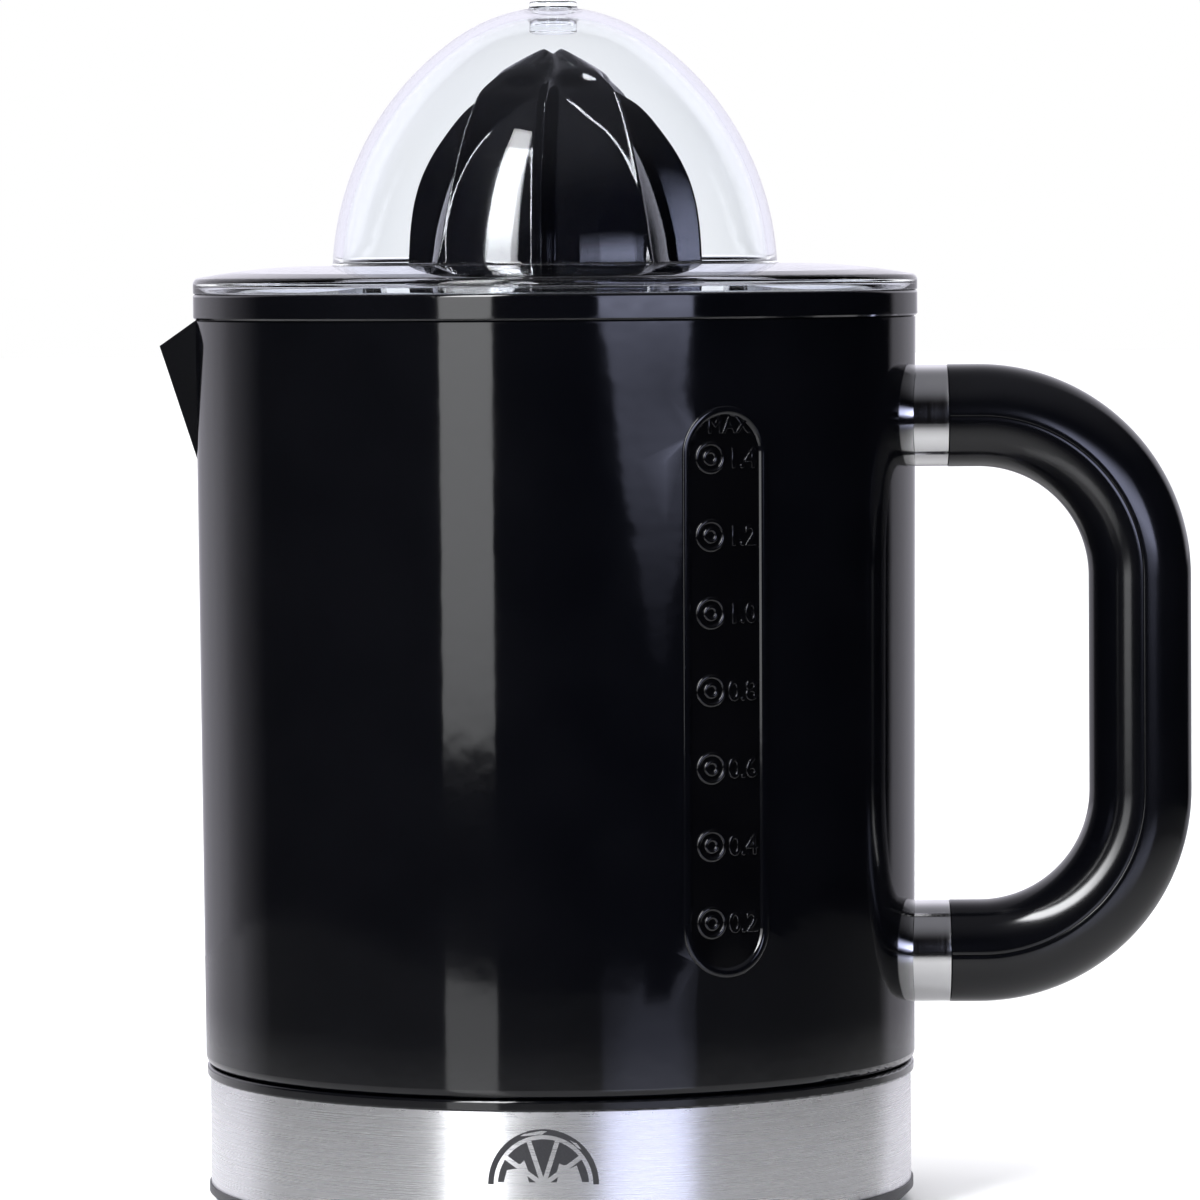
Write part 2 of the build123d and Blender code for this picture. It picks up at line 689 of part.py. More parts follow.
with BuildPart() as rotor_pinion:
    with BuildSketch(Plane.XY.offset(pinion_z)):
        with Locations((rotor_x, rotor_y)):
            add(gear_outline(small_teeth, fast_module, pinion_addendum,
                             wheel_addendum + root_clearance,
                             idler_to_rotor + 180 + 180 / small_teeth))
            Circle(rotor_shaft_r, mode=Mode.SUBTRACT)
    extrude(amount=pinion_top - pinion_z)
rotor_pinion.part.label = "rotor_pinion"
export_step(rotor_pinion.part, "parts/rotor_pinion.step")

screw_head_r = 3.0
screw_head_h = 2.0
with BuildPart() as motor_screws:
    with BuildSketch(Plane.XY.offset(motor_screw_bottom)):
        with Locations(*yoke_screws):
            Circle(motor_screw_r)
    extrude(amount=core_high - motor_screw_bottom)
    with BuildSketch(Plane.XY.offset(motor_screw_bottom)):
        with Locations(*pole_screws):
            Circle(motor_screw_r)
    extrude(amount=core_high + bridge_thickness - motor_screw_bottom)
    with BuildSketch(Plane.XY.offset(core_high)):
        with Locations(*yoke_screws):
            Circle(screw_head_r)
    extrude(amount=screw_head_h)
    with BuildSketch(Plane.XY.offset(core_high + bridge_thickness)):
        with Locations(*pole_screws):
            Circle(screw_head_r)
    extrude(amount=screw_head_h)
motor_screws.part.label = "motor_screws"
export_step(motor_screws.part, "parts/motor_screws.step")

block_x = -14.0
block_y = 38.0
block_length = 24.0
block_width = 11.0
block_base_h, block_tower_h = 6.0, 9.0
block_pole_pitch, tower_length, tower_width = 8.0, 6.0, 9.0
block_screw_r, block_screw_floor = 1.6, 4.0
with BuildPart() as terminal_block:
    with BuildSketch(Plane.XY.offset(band_z)):
        with Locations((block_x, block_y)):
            Rectangle(block_length, block_width)
    extrude(amount=block_base_h)
    with BuildSketch(Plane.XY.offset(band_z)):
        with Locations((block_x, block_y)):
            with GridLocations(block_pole_pitch, 0, 3, 1):
                Rectangle(tower_length, tower_width)
    extrude(amount=block_tower_h)
    with BuildSketch(Plane.XY.offset(band_z + block_screw_floor)):
        with Locations((block_x, block_y)):
            with GridLocations(block_pole_pitch, 0, 3, 1):
                Circle(block_screw_r)
    extrude(amount=block_tower_h, mode=Mode.SUBTRACT)
terminal_block.part.label = "terminal_block"
export_step(terminal_block.part, "parts/terminal_block.step")

# ---------------------------------------------------------------- jug
spout_top_z = collar_z
spout_tip_x = -78.0
spout_tip_z = 169.8
spout_low_z = 146.5
spout_half_width = 13.0
spout_wall = 1.5
handle_screw_r = 1.6
handle_screw_rise = 2.2  # the screws sit above the arms' centres, clear of the jug's floor
foot_round = 1.92
seam_chamfer = 0.35  # on the jug's rim and the collar above it
beak_back = 6.0  # the beak starts this far inside the rim, so that it joins the wall
beak_opening = 6.0  # how far the beak's channel runs on above the rim
beak_keel_half = 0.2


def spout_wedge(inset):
    """Beak outside the wall, as a tetrahedron; inset thins it and opens its top."""
    side_inset, keel_inset = 1.35 * inset, 1.25 * inset  # the wall's thickness, measured level
    half = spout_half_width - side_inset
    back = -jug_rim_r + beak_back
    # the two planes of the beak meet in its keel, from the low point up to the tip
    keel_x = spout_tip_x + keel_inset
    tip_slope = (spout_tip_z - spout_low_z) / (spout_tip_x + jug_radius(spout_low_z))
    low_x = -jug_radius(spout_low_z) + beak_keel_half + keel_inset
    level = spout_top_z + (beak_opening if inset else 0)
    with BuildSketch(Plane.XY.offset(level)) as top:
        with BuildLine():
            Polyline(
                (back, half),
                (keel_x + (level - spout_tip_z) / tip_slope, 0),
                (back, -half),
                close=True,
            )
        make_face()
    with BuildSketch(Plane.XY.offset(spout_low_z)) as low:
        with BuildLine():
            Polyline(
                (low_x + 2 * beak_keel_half, beak_keel_half),
                (low_x, 0),
                (low_x + 2 * beak_keel_half, -beak_keel_half),
                close=True,
            )
        make_face()
    return top.sketch, low.sketch


window_middle_z = (window_low_z + window_high_z) / 2
window_plane = Plane(
    origin=(0, 0, window_middle_z),
    x_dir=(0, 0, 1),
    z_dir=(cos(radians(window_azimuth)), sin(radians(window_azimuth)), 0),
)
window_length = window_high_z - window_low_z

with BuildPart() as jug_shell:
    with BuildSketch(Plane.XZ):
        with BuildLine():
            Polyline(
                (jug_foot_r - wall, seat_z),
                (jug_foot_r, seat_z),
                (jug_rim_r, collar_z - seam_chamfer),
                (jug_rim_r - seam_chamfer, collar_z),
                (jug_rim_r - wall, collar_z),
                close=True,
            )
        make_face()
    revolve(axis=Axis.Z)
    fillet(jug_shell.edges().group_by(Axis.Z)[0].sort_by(SortBy.RADIUS)[-1], foot_round)
    loft(sections=spout_wedge(0))
    # the beak's top slopes down from the rim to the tip
    beak_root_x = -jug_rim_r + 0.6
    beak_fall = (collar_z - spout_tip_z) / (beak_root_x - spout_tip_x)
    beak_overcut = 4.0
    with BuildSketch(Plane.XZ):
        with BuildLine():
            Polyline(
                (beak_root_x, collar_z),
                (spout_tip_x - beak_overcut, spout_tip_z - beak_overcut * beak_fall),
                (spout_tip_x - beak_overcut, collar_z + 2 * beak_overcut),
                (beak_root_x, collar_z + 2 * beak_overcut),
                close=True,
            )
        make_face()
    extrude(amount=2 * spout_half_width, both=True, mode=Mode.SUBTRACT)
    # clear the wedge's back from the inside of the jug
    with BuildSketch(Plane.XY.offset(collar_z)):
        Circle(jug_rim_r - wall)
    extrude(amount=seat_z - collar_z, taper=degrees(atan2(jug_rim_r - jug_foot_r, collar_z - seat_z)),
            mode=Mode.SUBTRACT)
    loft(sections=spout_wedge(spout_wall), mode=Mode.SUBTRACT)
    with BuildSketch(window_plane):
        SlotOverall(window_length, window_width)
    extrude(amount=collar_r + 5, mode=Mode.SUBTRACT)
    with BuildSketch(Plane.YZ):
        with Locations((0, handle_high_z + handle_screw_rise), (0, handle_low_z + handle_screw_rise)):
            Circle(handle_screw_r + screw_clearance)
    extrude(amount=collar_r + 5, mode=Mode.SUBTRACT)
jug_shell.part.label = "jug_shell"
export_step(jug_shell.part, "parts/jug_shell.step")

seal_r = jug_foot_r - wall
floor_r = seal_r - 1.5
spigot_r = 16.5
column_foot_r = 18.0
column_top_r = 17.0
spigot_wall, column_wall, column_cap = 1.5, 2.4, 2.5
with BuildPart(Plane.XY.offset(floor_z - wall)) as jug_floor:
    Cylinder(floor_r, wall, align=UPRIGHT)
    Cylinder(spigot_r, wall, align=UPRIGHT, mode=Mode.SUBTRACT)
jug_floor.part.label = "jug_floor"
export_step(jug_floor.part, "parts/jug_floor.step")

with BuildPart(Plane.XY.offset(floor_z - wall)) as floor_seal:
    Cylinder(seal_r, wall, align=UPRIGHT)
    Cylinder(floor_r, wall, align=UPRIGHT, mode=Mode.SUBTRACT)
floor_seal.part.label = "floor_seal"
export_step(floor_seal.part, "parts/floor_seal.step")

column_bore_r = 5.3
with BuildPart() as centre_column:
    with BuildSketch(Plane.XZ):
        with BuildLine():
            Polyline(
                (spigot_r - spigot_wall, floor_z - wall),
                (spigot_r, floor_z - wall),
                (spigot_r, floor_z),
                (column_foot_r, floor_z),
                (column_top_r, column_z),
                (column_bore_r, column_z),
                (column_bore_r, column_z - column_cap),
                (column_top_r - column_wall, column_z - column_cap),
                close=True,
            )
        make_face()
    revolve(axis=Axis.Z)
    fillet(centre_column.edges().filter_by(GeomType.CIRCLE).group_by(Axis.Z)[-1].sort_by(SortBy.RADIUS)[-1], 2)
centre_column.part.label = "centre_column"
export_step(centre_column.part, "parts/centre_column.step")

window_recess = 0.3
gasket_stand = 0.35


def wall_band(inset_in, inset_out):
    """Section of a ring that follows the jug's wall, for pieces set into the wall."""
    with BuildSketch(Plane.XZ) as section:
        with BuildLine():
            Polyline(
                (jug_foot_r - wall + inset_in, seat_z),
                (jug_foot_r + inset_out, seat_z),
                (jug_rim_r + inset_out, collar_z),
                (jug_rim_r - wall + inset_in, collar_z),
                close=True,
            )
        make_face()
    return section.sketch


with BuildPart() as level_window:
    revolve(wall_band(0, -window_recess), axis=Axis.Z)
    with BuildSketch(window_plane):
        SlotOverall(window_length - 2 * gasket_width, window_width - 2 * gasket_width)
    extrude(amount=collar_r + 5, mode=Mode.INTERSECT)
level_window.part.label = "level_window"
export_step(level_window.part, "parts/level_window.step")

with BuildPart() as window_gasket:
    revolve(wall_band(0, gasket_stand), axis=Axis.Z)
    with BuildSketch(window_plane):
        SlotOverall(window_length, window_width)
        SlotOverall(window_length - 2 * gasket_width, window_width - 2 * gasket_width, mode=Mode.SUBTRACT)
    extrude(amount=collar_r + 5, mode=Mode.INTERSECT)
window_gasket.part.label = "window_gasket"
export_step(window_gasket.part, "parts/window_gasket.step")

# ---------------------------------------------------------------- handle
arm_end_x = handle_x - handle_bend_r
handle_start = Plane(origin=(ferrule_end_x, 0, handle_high_z), x_dir=(0, 1, 0), z_dir=(1, 0, 0))


def handle_path():
    """Centre line of the D-shaped handle, from the upper ferrule to the lower one."""
    with BuildLine(Plane.XZ) as path:
        Line((ferrule_end_x, handle_high_z), (arm_end_x, handle_high_z))
        RadiusArc((arm_end_x, handle_high_z), (handle_x, handle_high_z - handle_bend_r), handle_bend_r)
        Line((handle_x, handle_high_z - handle_bend_r), (handle_x, handle_low_z + handle_bend_r))
        RadiusArc((handle_x, handle_low_z + handle_bend_r), (arm_end_x, handle_low_z), handle_bend_r)
        Line((arm_end_x, handle_low_z), (ferrule_end_x, handle_low_z))
    return path.wires()[0]


def half_tube(side):
    """Half of the handle's tube section, on the outer (+1) or inner (-1) side of the seam."""
    with BuildSketch(handle_start) as section:
        Circle(handle_r)
        Circle(handle_bore_r, mode=Mode.SUBTRACT)
        with Locations((0, side * handle_r)):
            Rectangle(3 * handle_r, 2 * handle_r, mode=Mode.INTERSECT)
    return section.sketch


with BuildPart() as handle_outer_shell:
    sweep(half_tube(1), path=handle_path())
handle_outer_shell.part.label = "handle_outer_shell"
export_step(handle_outer_shell.part, "parts/handle_outer_shell.step")

with BuildPart() as handle_inner_shell:
    sweep(half_tube(-1), path=handle_path())
handle_inner_shell.part.label = "handle_inner_shell"
export_step(handle_inner_shell.part, "parts/handle_inner_shell.step")


def jug_solid_section():
    """Half section of the jug as a solid, to trim the ferrules to its surface."""
    with BuildSketch(Plane.XZ) as section:
        with BuildLine():
            Polyline((0, seat_z), (jug_foot_r, seat_z), (jug_rim_r, collar_z), (0, collar_z), close=True)
        make_face()
    return section.sketch


with BuildPart() as upper_ferrule:
    with BuildSketch(Plane.YZ.offset(jug_foot_r - 4)):
        with Locations((0, handle_high_z)):
            Circle(ferrule_r)
            Circle(handle_bore_r, mode=Mode.SUBTRACT)
    extrude(amount=ferrule_end_x - jug_foot_r + 4)
    revolve(jug_solid_section(), axis=Axis.Z, mode=Mode.SUBTRACT)
upper_ferrule.part.label = "upper_ferrule"
export_step(upper_ferrule.part, "parts/upper_ferrule.step")

with BuildPart() as lower_ferrule:
    with BuildSketch(Plane.YZ.offset(jug_foot_r - 4)):
        with Locations((0, handle_low_z)):
            Circle(ferrule_r)
            Circle(handle_bore_r, mode=Mode.SUBTRACT)
    extrude(amount=ferrule_end_x - jug_foot_r + 4)
    revolve(jug_solid_section(), axis=Axis.Z, mode=Mode.SUBTRACT)
lower_ferrule.part.label = "lower_ferrule"
export_step(lower_ferrule.part, "parts/lower_ferrule.step")

plug_start_x = 71.2
plug_fit = 0.1
arm_centres = [(0, handle_high_z), (0, handle_low_z)]
screw_centres = [(0, handle_high_z + handle_screw_rise), (0, handle_low_z + handle_screw_rise)]
with BuildPart() as handle_end_plugs:
    with BuildSketch(Plane.YZ.offset(plug_start_x)):
        with Locations(*arm_centres):
            Circle(handle_bore_r - plug_fit)
        with Locations(*screw_centres):
            Circle(handle_screw_r, mode=Mode.SUBTRACT)
    extrude(amount=arm_end_x - plug_start_x)
handle_end_plugs.part.label = "handle_end_plugs"
export_step(handle_end_plugs.part, "parts/handle_end_plugs.step")

washer_x = 66.9
washer_h = 1.0
washer_r = 4.6
handle_screw_head_r, handle_screw_head_h = 3.8, 2.2
handle_screw_length = 13.0
with BuildPart() as handle_washers:
    with BuildSketch(Plane.YZ.offset(washer_x)):
        with Locations(*screw_centres):
            Circle(washer_r)
            Circle(handle_screw_r, mode=Mode.SUBTRACT)
    extrude(amount=washer_h)
handle_washers.part.label = "handle_washers"
export_step(handle_washers.part, "parts/handle_washers.step")

with BuildPart() as handle_screws:
    with BuildSketch(Plane.YZ.offset(washer_x)):
        with Locations(*screw_centres):
            Circle(handle_screw_head_r)
    extrude(amount=-handle_screw_head_h)
    with BuildSketch(Plane.YZ.offset(washer_x)):
        with Locations(*screw_centres):
            Circle(handle_screw_r)
    extrude(amount=handle_screw_length)
handle_screws.part.label = "handle_screws"
export_step(handle_screws.part, "parts/handle_screws.step")

# ---------------------------------------------------------------- strainer
bowl_out_r = 67.8
bowl_in_r = 66.0
bowl_floor_z = 167.6
hub_ring_r = 11.0
hub_ring_z = 172.3
carrier_r = 8.0
slot_in_r = 33.0
slot_out_r = 61.0
slot_width = 1.8
slot_count = 30
bowl_bevel_r, bowl_bevel_z = 2.5, 4.0
collar_round = 0.6
with BuildPart() as strainer:
    with BuildSketch(Plane.XZ):
        with BuildLine():
            Polyline(
                (bowl_out_r, collar_z),
                (collar_r - seam_chamfer, collar_z),
                (collar_r, collar_z + seam_chamfer),
                (collar_r, cover_z),
                (bowl_in_r, cover_z),
                (bowl_in_r, bowl_floor_z + bowl_bevel_z),
                (bowl_in_r - bowl_bevel_r, bowl_floor_z),
                (hub_ring_r, bowl_floor_z),
                (hub_ring_r, hub_ring_z),
                (carrier_r + running, hub_ring_z),
                (carrier_r + running, bowl_floor_z - wall),
                (bowl_in_r - bowl_bevel_r + 1, bowl_floor_z - wall),
                (bowl_out_r, bowl_floor_z + bowl_bevel_z - 0.6),
                close=True,
            )
        make_face()
    revolve(axis=Axis.Z)
    collar_edges = strainer.edges().filter_by(GeomType.CIRCLE).group_by(SortBy.RADIUS)[-1]
    fillet(collar_edges.sort_by(Axis.Z)[-1], collar_round)
    with BuildSketch(Plane.XY.offset(bowl_floor_z)):
        with PolarLocations((slot_in_r + slot_out_r) / 2, slot_count):
            SlotOverall(slot_out_r - slot_in_r, slot_width)
    extrude(amount=-2 * wall, mode=Mode.SUBTRACT)
strainer.part.label = "strainer"
export_step(strainer.part, "parts/strainer.step")

# ---------------------------------------------------------------- cone carrier and pressing cone
carrier_flange_z = hub_ring_z + gap
carrier_flange_h = 1.6
carrier_bottom = 166.2
carrier_top = 188.0
carrier_across = 15.0
carrier_bore_fit = 0.1
with BuildPart() as cone_carrier:
    with BuildSketch(Plane.XY.offset(carrier_bottom)):
        Circle(carrier_r)
    extrude(amount=carrier_flange_z - carrier_bottom)
    with BuildSketch(Plane.XY.offset(carrier_flange_z)):
        Circle(hub_ring_r)
    extrude(amount=carrier_flange_h)
    with BuildSketch(Plane.XY.offset(carrier_flange_z + carrier_flange_h)):
        RegularPolygon(carrier_across / 2, 6, major_radius=False)
    extrude(amount=carrier_top - carrier_flange_z - carrier_flange_h)
    with BuildSketch(Plane.XY.offset(carrier_bottom)):
        RegularPolygon(hex_bore_across / 2 + carrier_bore_fit, 6, major_radius=False)
    extrude(amount=carrier_top - carrier_bottom, mode=Mode.SUBTRACT)
cone_carrier.part.label = "cone_carrier"
export_step(cone_carrier.part, "parts/cone_carrier.step")

cone_z = 184.0  # the ribs' feet
skirt_bottom = 171.0
skirt_r = 29.5
skirt_flare = 0.4
skirt_top_z = cone_z - 3
# the hollow above the skirt narrows in steps up to its roof
hollow_low_z, hollow_roof_z = cone_z - 5, cone_z + 16
hollow_low_r, hollow_r, hollow_roof_r = 27.1, 21.5, 16.5
skirt_wall = 2.0
socket_fit = 0.15
shaft_play = 0.1
boss_bottom = 177.0
cone_boss_r = 11.5
rib_count = 8
rib_thickness = 2.0
first_rib = -95.0  # azimuth of the rib nearest the front
# (radius, height over the ribs' feet)
tall_rib = [(3.0, 43.4), (10.0, 40.2), (14.0, 38.0), (18.6, 34.5), (22.4, 27.3), (26.1, 15.3), (29.5, 0)]
short_rib = [(12.4, 35.0), (16.8, 32.2), (20.8, 27.7), (24.8, 21.7), (26.9, 16.9), (28.7, 7.2), (29.1, 0)]
cone_core = [(0, 42.0), (6.0, 40.0), (12.0, 34.0), (17.0, 27.0), (21.0, 15.0), (24.0, 0)]


def rib_face(profile, azimuth):
    """Face of one rib in its own radial plane."""
    plane = Plane(origin=(0, 0, 0), x_dir=(cos(radians(azimuth)), sin(radians(azimuth)), 0),
                  z_dir=(sin(radians(azimuth)), -cos(radians(azimuth)), 0))
    with BuildSketch(plane) as face:
        with BuildLine():
            Polyline(
                (0, cone_z),
                (0, cone_z + profile[0][1]),
                *[(r, cone_z + height) for r, height in profile],
                close=True,
            )
        make_face()
    return face.sketch


with BuildPart() as reamer_cone:
    with BuildSketch(Plane.XZ):
        with BuildLine():
            Polyline(
                (0, skirt_bottom),
                *[(r, cone_z + height) for r, height in cone_core],
                (skirt_r, skirt_top_z),
                (skirt_r + skirt_flare, skirt_bottom),
                close=True,
            )
        make_face()
    revolve(axis=Axis.Z)
    for rib in range(rib_count):
        azimuth = first_rib + 360 * rib / rib_count
        extrude(rib_face(short_rib if rib % 2 == 0 else tall_rib, azimuth),
                amount=rib_thickness / 2, both=True)
    with BuildSketch(Plane.XZ):
        with BuildLine():
            Polyline(
                (0, skirt_bottom),
                (0, boss_bottom),
                (cone_boss_r, boss_bottom),
                (cone_boss_r, hollow_roof_z),
                (hollow_roof_r, hollow_roof_z),
                (hollow_r, cone_z),
                (hollow_low_r, hollow_low_z),
                (skirt_r - skirt_wall, skirt_bottom),
                close=True,
            )
        make_face()
    revolve(axis=Axis.Z, mode=Mode.SUBTRACT)
    with BuildSketch(Plane.XY.offset(boss_bottom)):
        RegularPolygon(carrier_across / 2 + socket_fit, 6, major_radius=False)
    extrude(amount=carrier_top + press_travel + gap - boss_bottom, mode=Mode.SUBTRACT)
    with BuildSketch(Plane.XY.offset(boss_bottom)):
        Circle(seal_bore_r)
    extrude(amount=shaft_top + shaft_play - boss_bottom, mode=Mode.SUBTRACT)
reamer_cone.part.label = "reamer_cone"
export_step(reamer_cone.part, "parts/reamer_cone.step")

# ---------------------------------------------------------------- dust cover
cover_rim_z = 183.3
crown_z = 185.4
dome_r = 43.55  # at its foot
cover_wall = 1.8
# the dome's outline is two arcs: a cap, down to cap_angle from the axis, and the flatter sides
cap_r, cap_angle = 33.6, 34.8
side_r = 57.3
cap_centre_z = dome_z - cap_r
side_centre_x = (cap_r - side_r) * sin(radians(cap_angle))
side_centre_z = cap_centre_z + (cap_r - side_r) * cos(radians(cap_angle))
lip_r = 65.4
lip_z = 176.6
knob_r = 4.7
knob_z = 236.9
well_r = 3.3
well_z = 232.4
side_middle_z = 212.0  # some height halfway down the sides
dome_inner_foot_z = crown_z - cover_wall


def on_cap(inset, angle):
    """Point (radius, height) of the cap, or of its inside at the given inset."""
    return (cap_r - inset) * sin(radians(angle)), cap_centre_z + (cap_r - inset) * cos(radians(angle))


def on_side(inset, height):
    """Point (radius, height) of the dome's side, or of its inside at the given inset."""
    return side_centre_x + sqrt((side_r - inset) ** 2 - (height - side_centre_z) ** 2), height


# outline points of the flange, (radius, height), from the dome's foot out to the rim and back inside
dome_foot = on_side(0, crown_z + 0.6)
foot_middle = (dome_r + 0.4, crown_z)
crown_start = (dome_r + 1.2, crown_z - 0.1)
crown_middle = (58.5, 184.75)
crown_end = (70.2, cover_rim_z - 0.2)
rim_middle = (70.9, cover_rim_z - 0.6)
rim_low = (collar_r, cover_rim_z - 1.4)
rim_inner_r = 69.4
rim_inner_z = cover_rim_z - 1.9
lip_wall = 1.6
lip_root_z = cover_rim_z - 1.5
under_start = (lip_r - lip_wall, cover_rim_z - 1.3)
under_middle = (55, 183.0)
boss_drop = 1.6  # the knob's boss ends this far below its well
with BuildPart() as dust_cover:
    with BuildSketch(Plane.XZ):
        with BuildLine():
            Line(on_cap(cover_wall, 0), on_cap(0, 0))
            ThreePointArc(on_cap(0, 0), on_cap(0, cap_angle / 2), on_cap(0, cap_angle))
            ThreePointArc(on_cap(0, cap_angle), on_side(0, side_middle_z), dome_foot)
            ThreePointArc(dome_foot, foot_middle, crown_start)
            ThreePointArc(crown_start, crown_middle, crown_end)
            ThreePointArc(crown_end, rim_middle, rim_low)
            Polyline(
                rim_low,
                (collar_r, cover_z),
                (rim_inner_r, cover_z),
                (rim_inner_r, rim_inner_z),
                (lip_r, lip_root_z),
                (lip_r, lip_z),
                (lip_r - lip_wall, lip_z),
                under_start,
            )
            inner_foot = on_side(cover_wall, dome_inner_foot_z)
            inner_join = on_cap(cover_wall, cap_angle)
            ThreePointArc(under_start, under_middle, inner_foot)
            ThreePointArc(inner_foot, on_side(cover_wall, side_middle_z), inner_join)
            ThreePointArc(inner_join, on_cap(cover_wall, cap_angle / 2), on_cap(cover_wall, 0))
        make_face()
    revolve(axis=Axis.Z)
    with BuildSketch(Plane.XY.offset(well_z - boss_drop)):
        Circle(knob_r)
    extrude(amount=knob_z - well_z + boss_drop)
    with BuildSketch(Plane.XY.offset(well_z)):
        Circle(well_r)
    extrude(amount=knob_z - well_z, mode=Mode.SUBTRACT)
dust_cover.part.label = "dust_cover"
export_step(dust_cover.part, "parts/dust_cover.step")
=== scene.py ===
"""Looks of the citrus press: fine meshes, materials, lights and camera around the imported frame.

The frame is in metres, +Z up, with the table at z = 0 and the jug's axis on Z. Sizes below are in
millimetres and MM turns them into metres. The handle points to +X and the front is -Y.
"""

from math import acos, asin, atan2, cos, degrees, hypot, pi, radians, sin, sqrt

import bmesh
import bpy
from mathutils import Matrix, Vector


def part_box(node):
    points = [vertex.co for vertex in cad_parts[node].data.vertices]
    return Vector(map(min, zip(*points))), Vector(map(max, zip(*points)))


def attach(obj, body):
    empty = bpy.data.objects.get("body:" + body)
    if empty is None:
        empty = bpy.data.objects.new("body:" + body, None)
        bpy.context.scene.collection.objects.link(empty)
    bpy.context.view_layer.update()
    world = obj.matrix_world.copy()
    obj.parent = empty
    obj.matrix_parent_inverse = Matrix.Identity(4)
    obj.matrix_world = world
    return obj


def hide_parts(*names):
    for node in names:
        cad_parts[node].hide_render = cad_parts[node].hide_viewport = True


MM = 0.001

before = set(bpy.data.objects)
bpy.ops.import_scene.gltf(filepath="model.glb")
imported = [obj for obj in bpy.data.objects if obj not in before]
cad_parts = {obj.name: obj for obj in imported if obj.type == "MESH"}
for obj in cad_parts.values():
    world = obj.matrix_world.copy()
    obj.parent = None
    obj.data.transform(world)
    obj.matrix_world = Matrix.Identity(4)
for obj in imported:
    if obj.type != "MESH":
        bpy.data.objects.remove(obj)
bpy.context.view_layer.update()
scene = bpy.context.scene


def node_box(name):
    """Lowest and highest corner of a CAD node, in millimetres."""
    low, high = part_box(name)
    return low / MM, high / MM


# ---------------------------------------------------------------- sizes, from the frame
seat_z = node_box("jug_shell")[0].z
collar_high = node_box("strainer")[1].z
collar_z = node_box("jug_shell")[1].z
jug_foot_r, jug_rim_r = 70.0, node_box("jug_shell")[1].y
knob_top = node_box("dust_cover")[1].z
lip_low = node_box("dust_cover")[0].z
band_low, band_high = node_box("steel_band")[0].z, node_box("steel_band")[1].z
ferrule_end = node_box("upper_ferrule")[1].x
skirt_low, skirt_r = node_box("reamer_cone")[0].z, node_box("reamer_cone")[1].x


def jug_radius(z):
    """Outer radius of the jug's wall, which widens slightly towards its rim."""
    return jug_foot_r + (jug_rim_r - jug_foot_r) * (z - seat_z) / (collar_z - seat_z)


# ---------------------------------------------------------------- node trees
def node(tree, kind, settings=None, **inputs):
    """Adds a shader node. An input is a value or another node's socket; _ in its name is a blank."""
    made = tree.nodes.new("ShaderNode" + kind)
    for name, value in (settings or {}).items():
        setattr(made, name, value)
    for name, value in inputs.items():
        socket = made.inputs[name.replace("_", " ")]
        if isinstance(value, bpy.types.NodeSocket):
            tree.links.new(value, socket)
        else:
            socket.default_value = value
    return made


def sums(tree, operation, *values):
    """Output of a Math node. Its inputs share one name, so they are filled in order."""
    made = node(tree, "Math", {"operation": operation})
    for socket, value in zip(made.inputs, values):
        if isinstance(value, bpy.types.NodeSocket):
            tree.links.new(value, socket)
        else:
            socket.default_value = value
    return made.outputs[0]


def spread(tree, value, low, high, to_low=0.0, to_high=1.0):
    """Output of a Map Range node that carries value from low..high to to_low..to_high."""
    limits = {"From_Min": low, "From_Max": high, "To_Min": to_low, "To_Max": to_high}
    return node(tree, "MapRange", Value=value, **limits).outputs["Result"]


def ramp(tree, factor, stops):
    """Output of a Color Ramp; a stop is (place, colour) with a colour of three numbers or one grey."""
    made = node(tree, "ValToRGB", Fac=factor)
    elements = made.color_ramp.elements
    while len(elements) < len(stops):
        elements.new(0.5)
    for element, (place, colour) in zip(elements, stops):
        element.position = place
        shade = (colour,) * 3 if isinstance(colour, (int, float)) else colour
        element.color = (*shade, 1)
    return made.outputs["Color"]


def place(tree):
    """Output with each point's place in the row frame, in metres; it moves with the object."""
    return node(tree, "TexCoord").outputs["Object"]


def noise(tree, scale, detail=2.0, rough=0.5, factors=(1, 1, 1)):
    """Output of a noise texture in the row frame; scale is in waves per metre."""
    mapped = node(tree, "Mapping", Vector=place(tree), Scale=factors)
    made = node(tree, "TexNoise", Vector=mapped.outputs[0], Scale=scale, Detail=detail, Roughness=rough)
    return made.outputs["Fac"]


def bump(tree, height, depth, **inputs):
    """Output of a Bump node; depth is in millimetres."""
    return node(tree, "Bump", Height=height, Distance=depth * MM, **inputs).outputs[0]


def fresh(slot, **inputs):
    """Clears a slot's material and returns its tree and its Principled node."""
    material = bpy.data.materials.get(slot) or bpy.data.materials.new(slot)
    material.use_nodes = True
    tree = material.node_tree
    tree.nodes.clear()
    shader = node(tree, "BsdfPrincipled", **inputs)
    output = tree.nodes.new("ShaderNodeOutputMaterial")
    tree.links.new(shader.outputs[0], output.inputs["Surface"])
    return tree, shader


def wire(tree, shader, **inputs):
    """Links sockets to a shader's inputs."""
    for name, value in inputs.items():
        tree.links.new(value, shader.inputs[name.replace("_", " ")])


def edge_wear(tree, axis, edges, reach, scale):
    """Patchy rubbing, 0 to 1, within reach of the planes at edges (millimetres) across an axis."""
    split = node(tree, "SeparateXYZ", Vector=place(tree))
    total = None
    for edge in edges:
        away = sums(tree, "ABSOLUTE", sums(tree, "SUBTRACT", split.outputs[axis], edge * MM))
        share = spread(tree, away, 0.0, reach * MM, 1.0, 0.0)
        total = share if total is None else sums(tree, "MAXIMUM", total, share)
    return sums(tree, "MULTIPLY", total, spread(tree, noise(tree, scale, 4, 0.65), 0.42, 0.62))


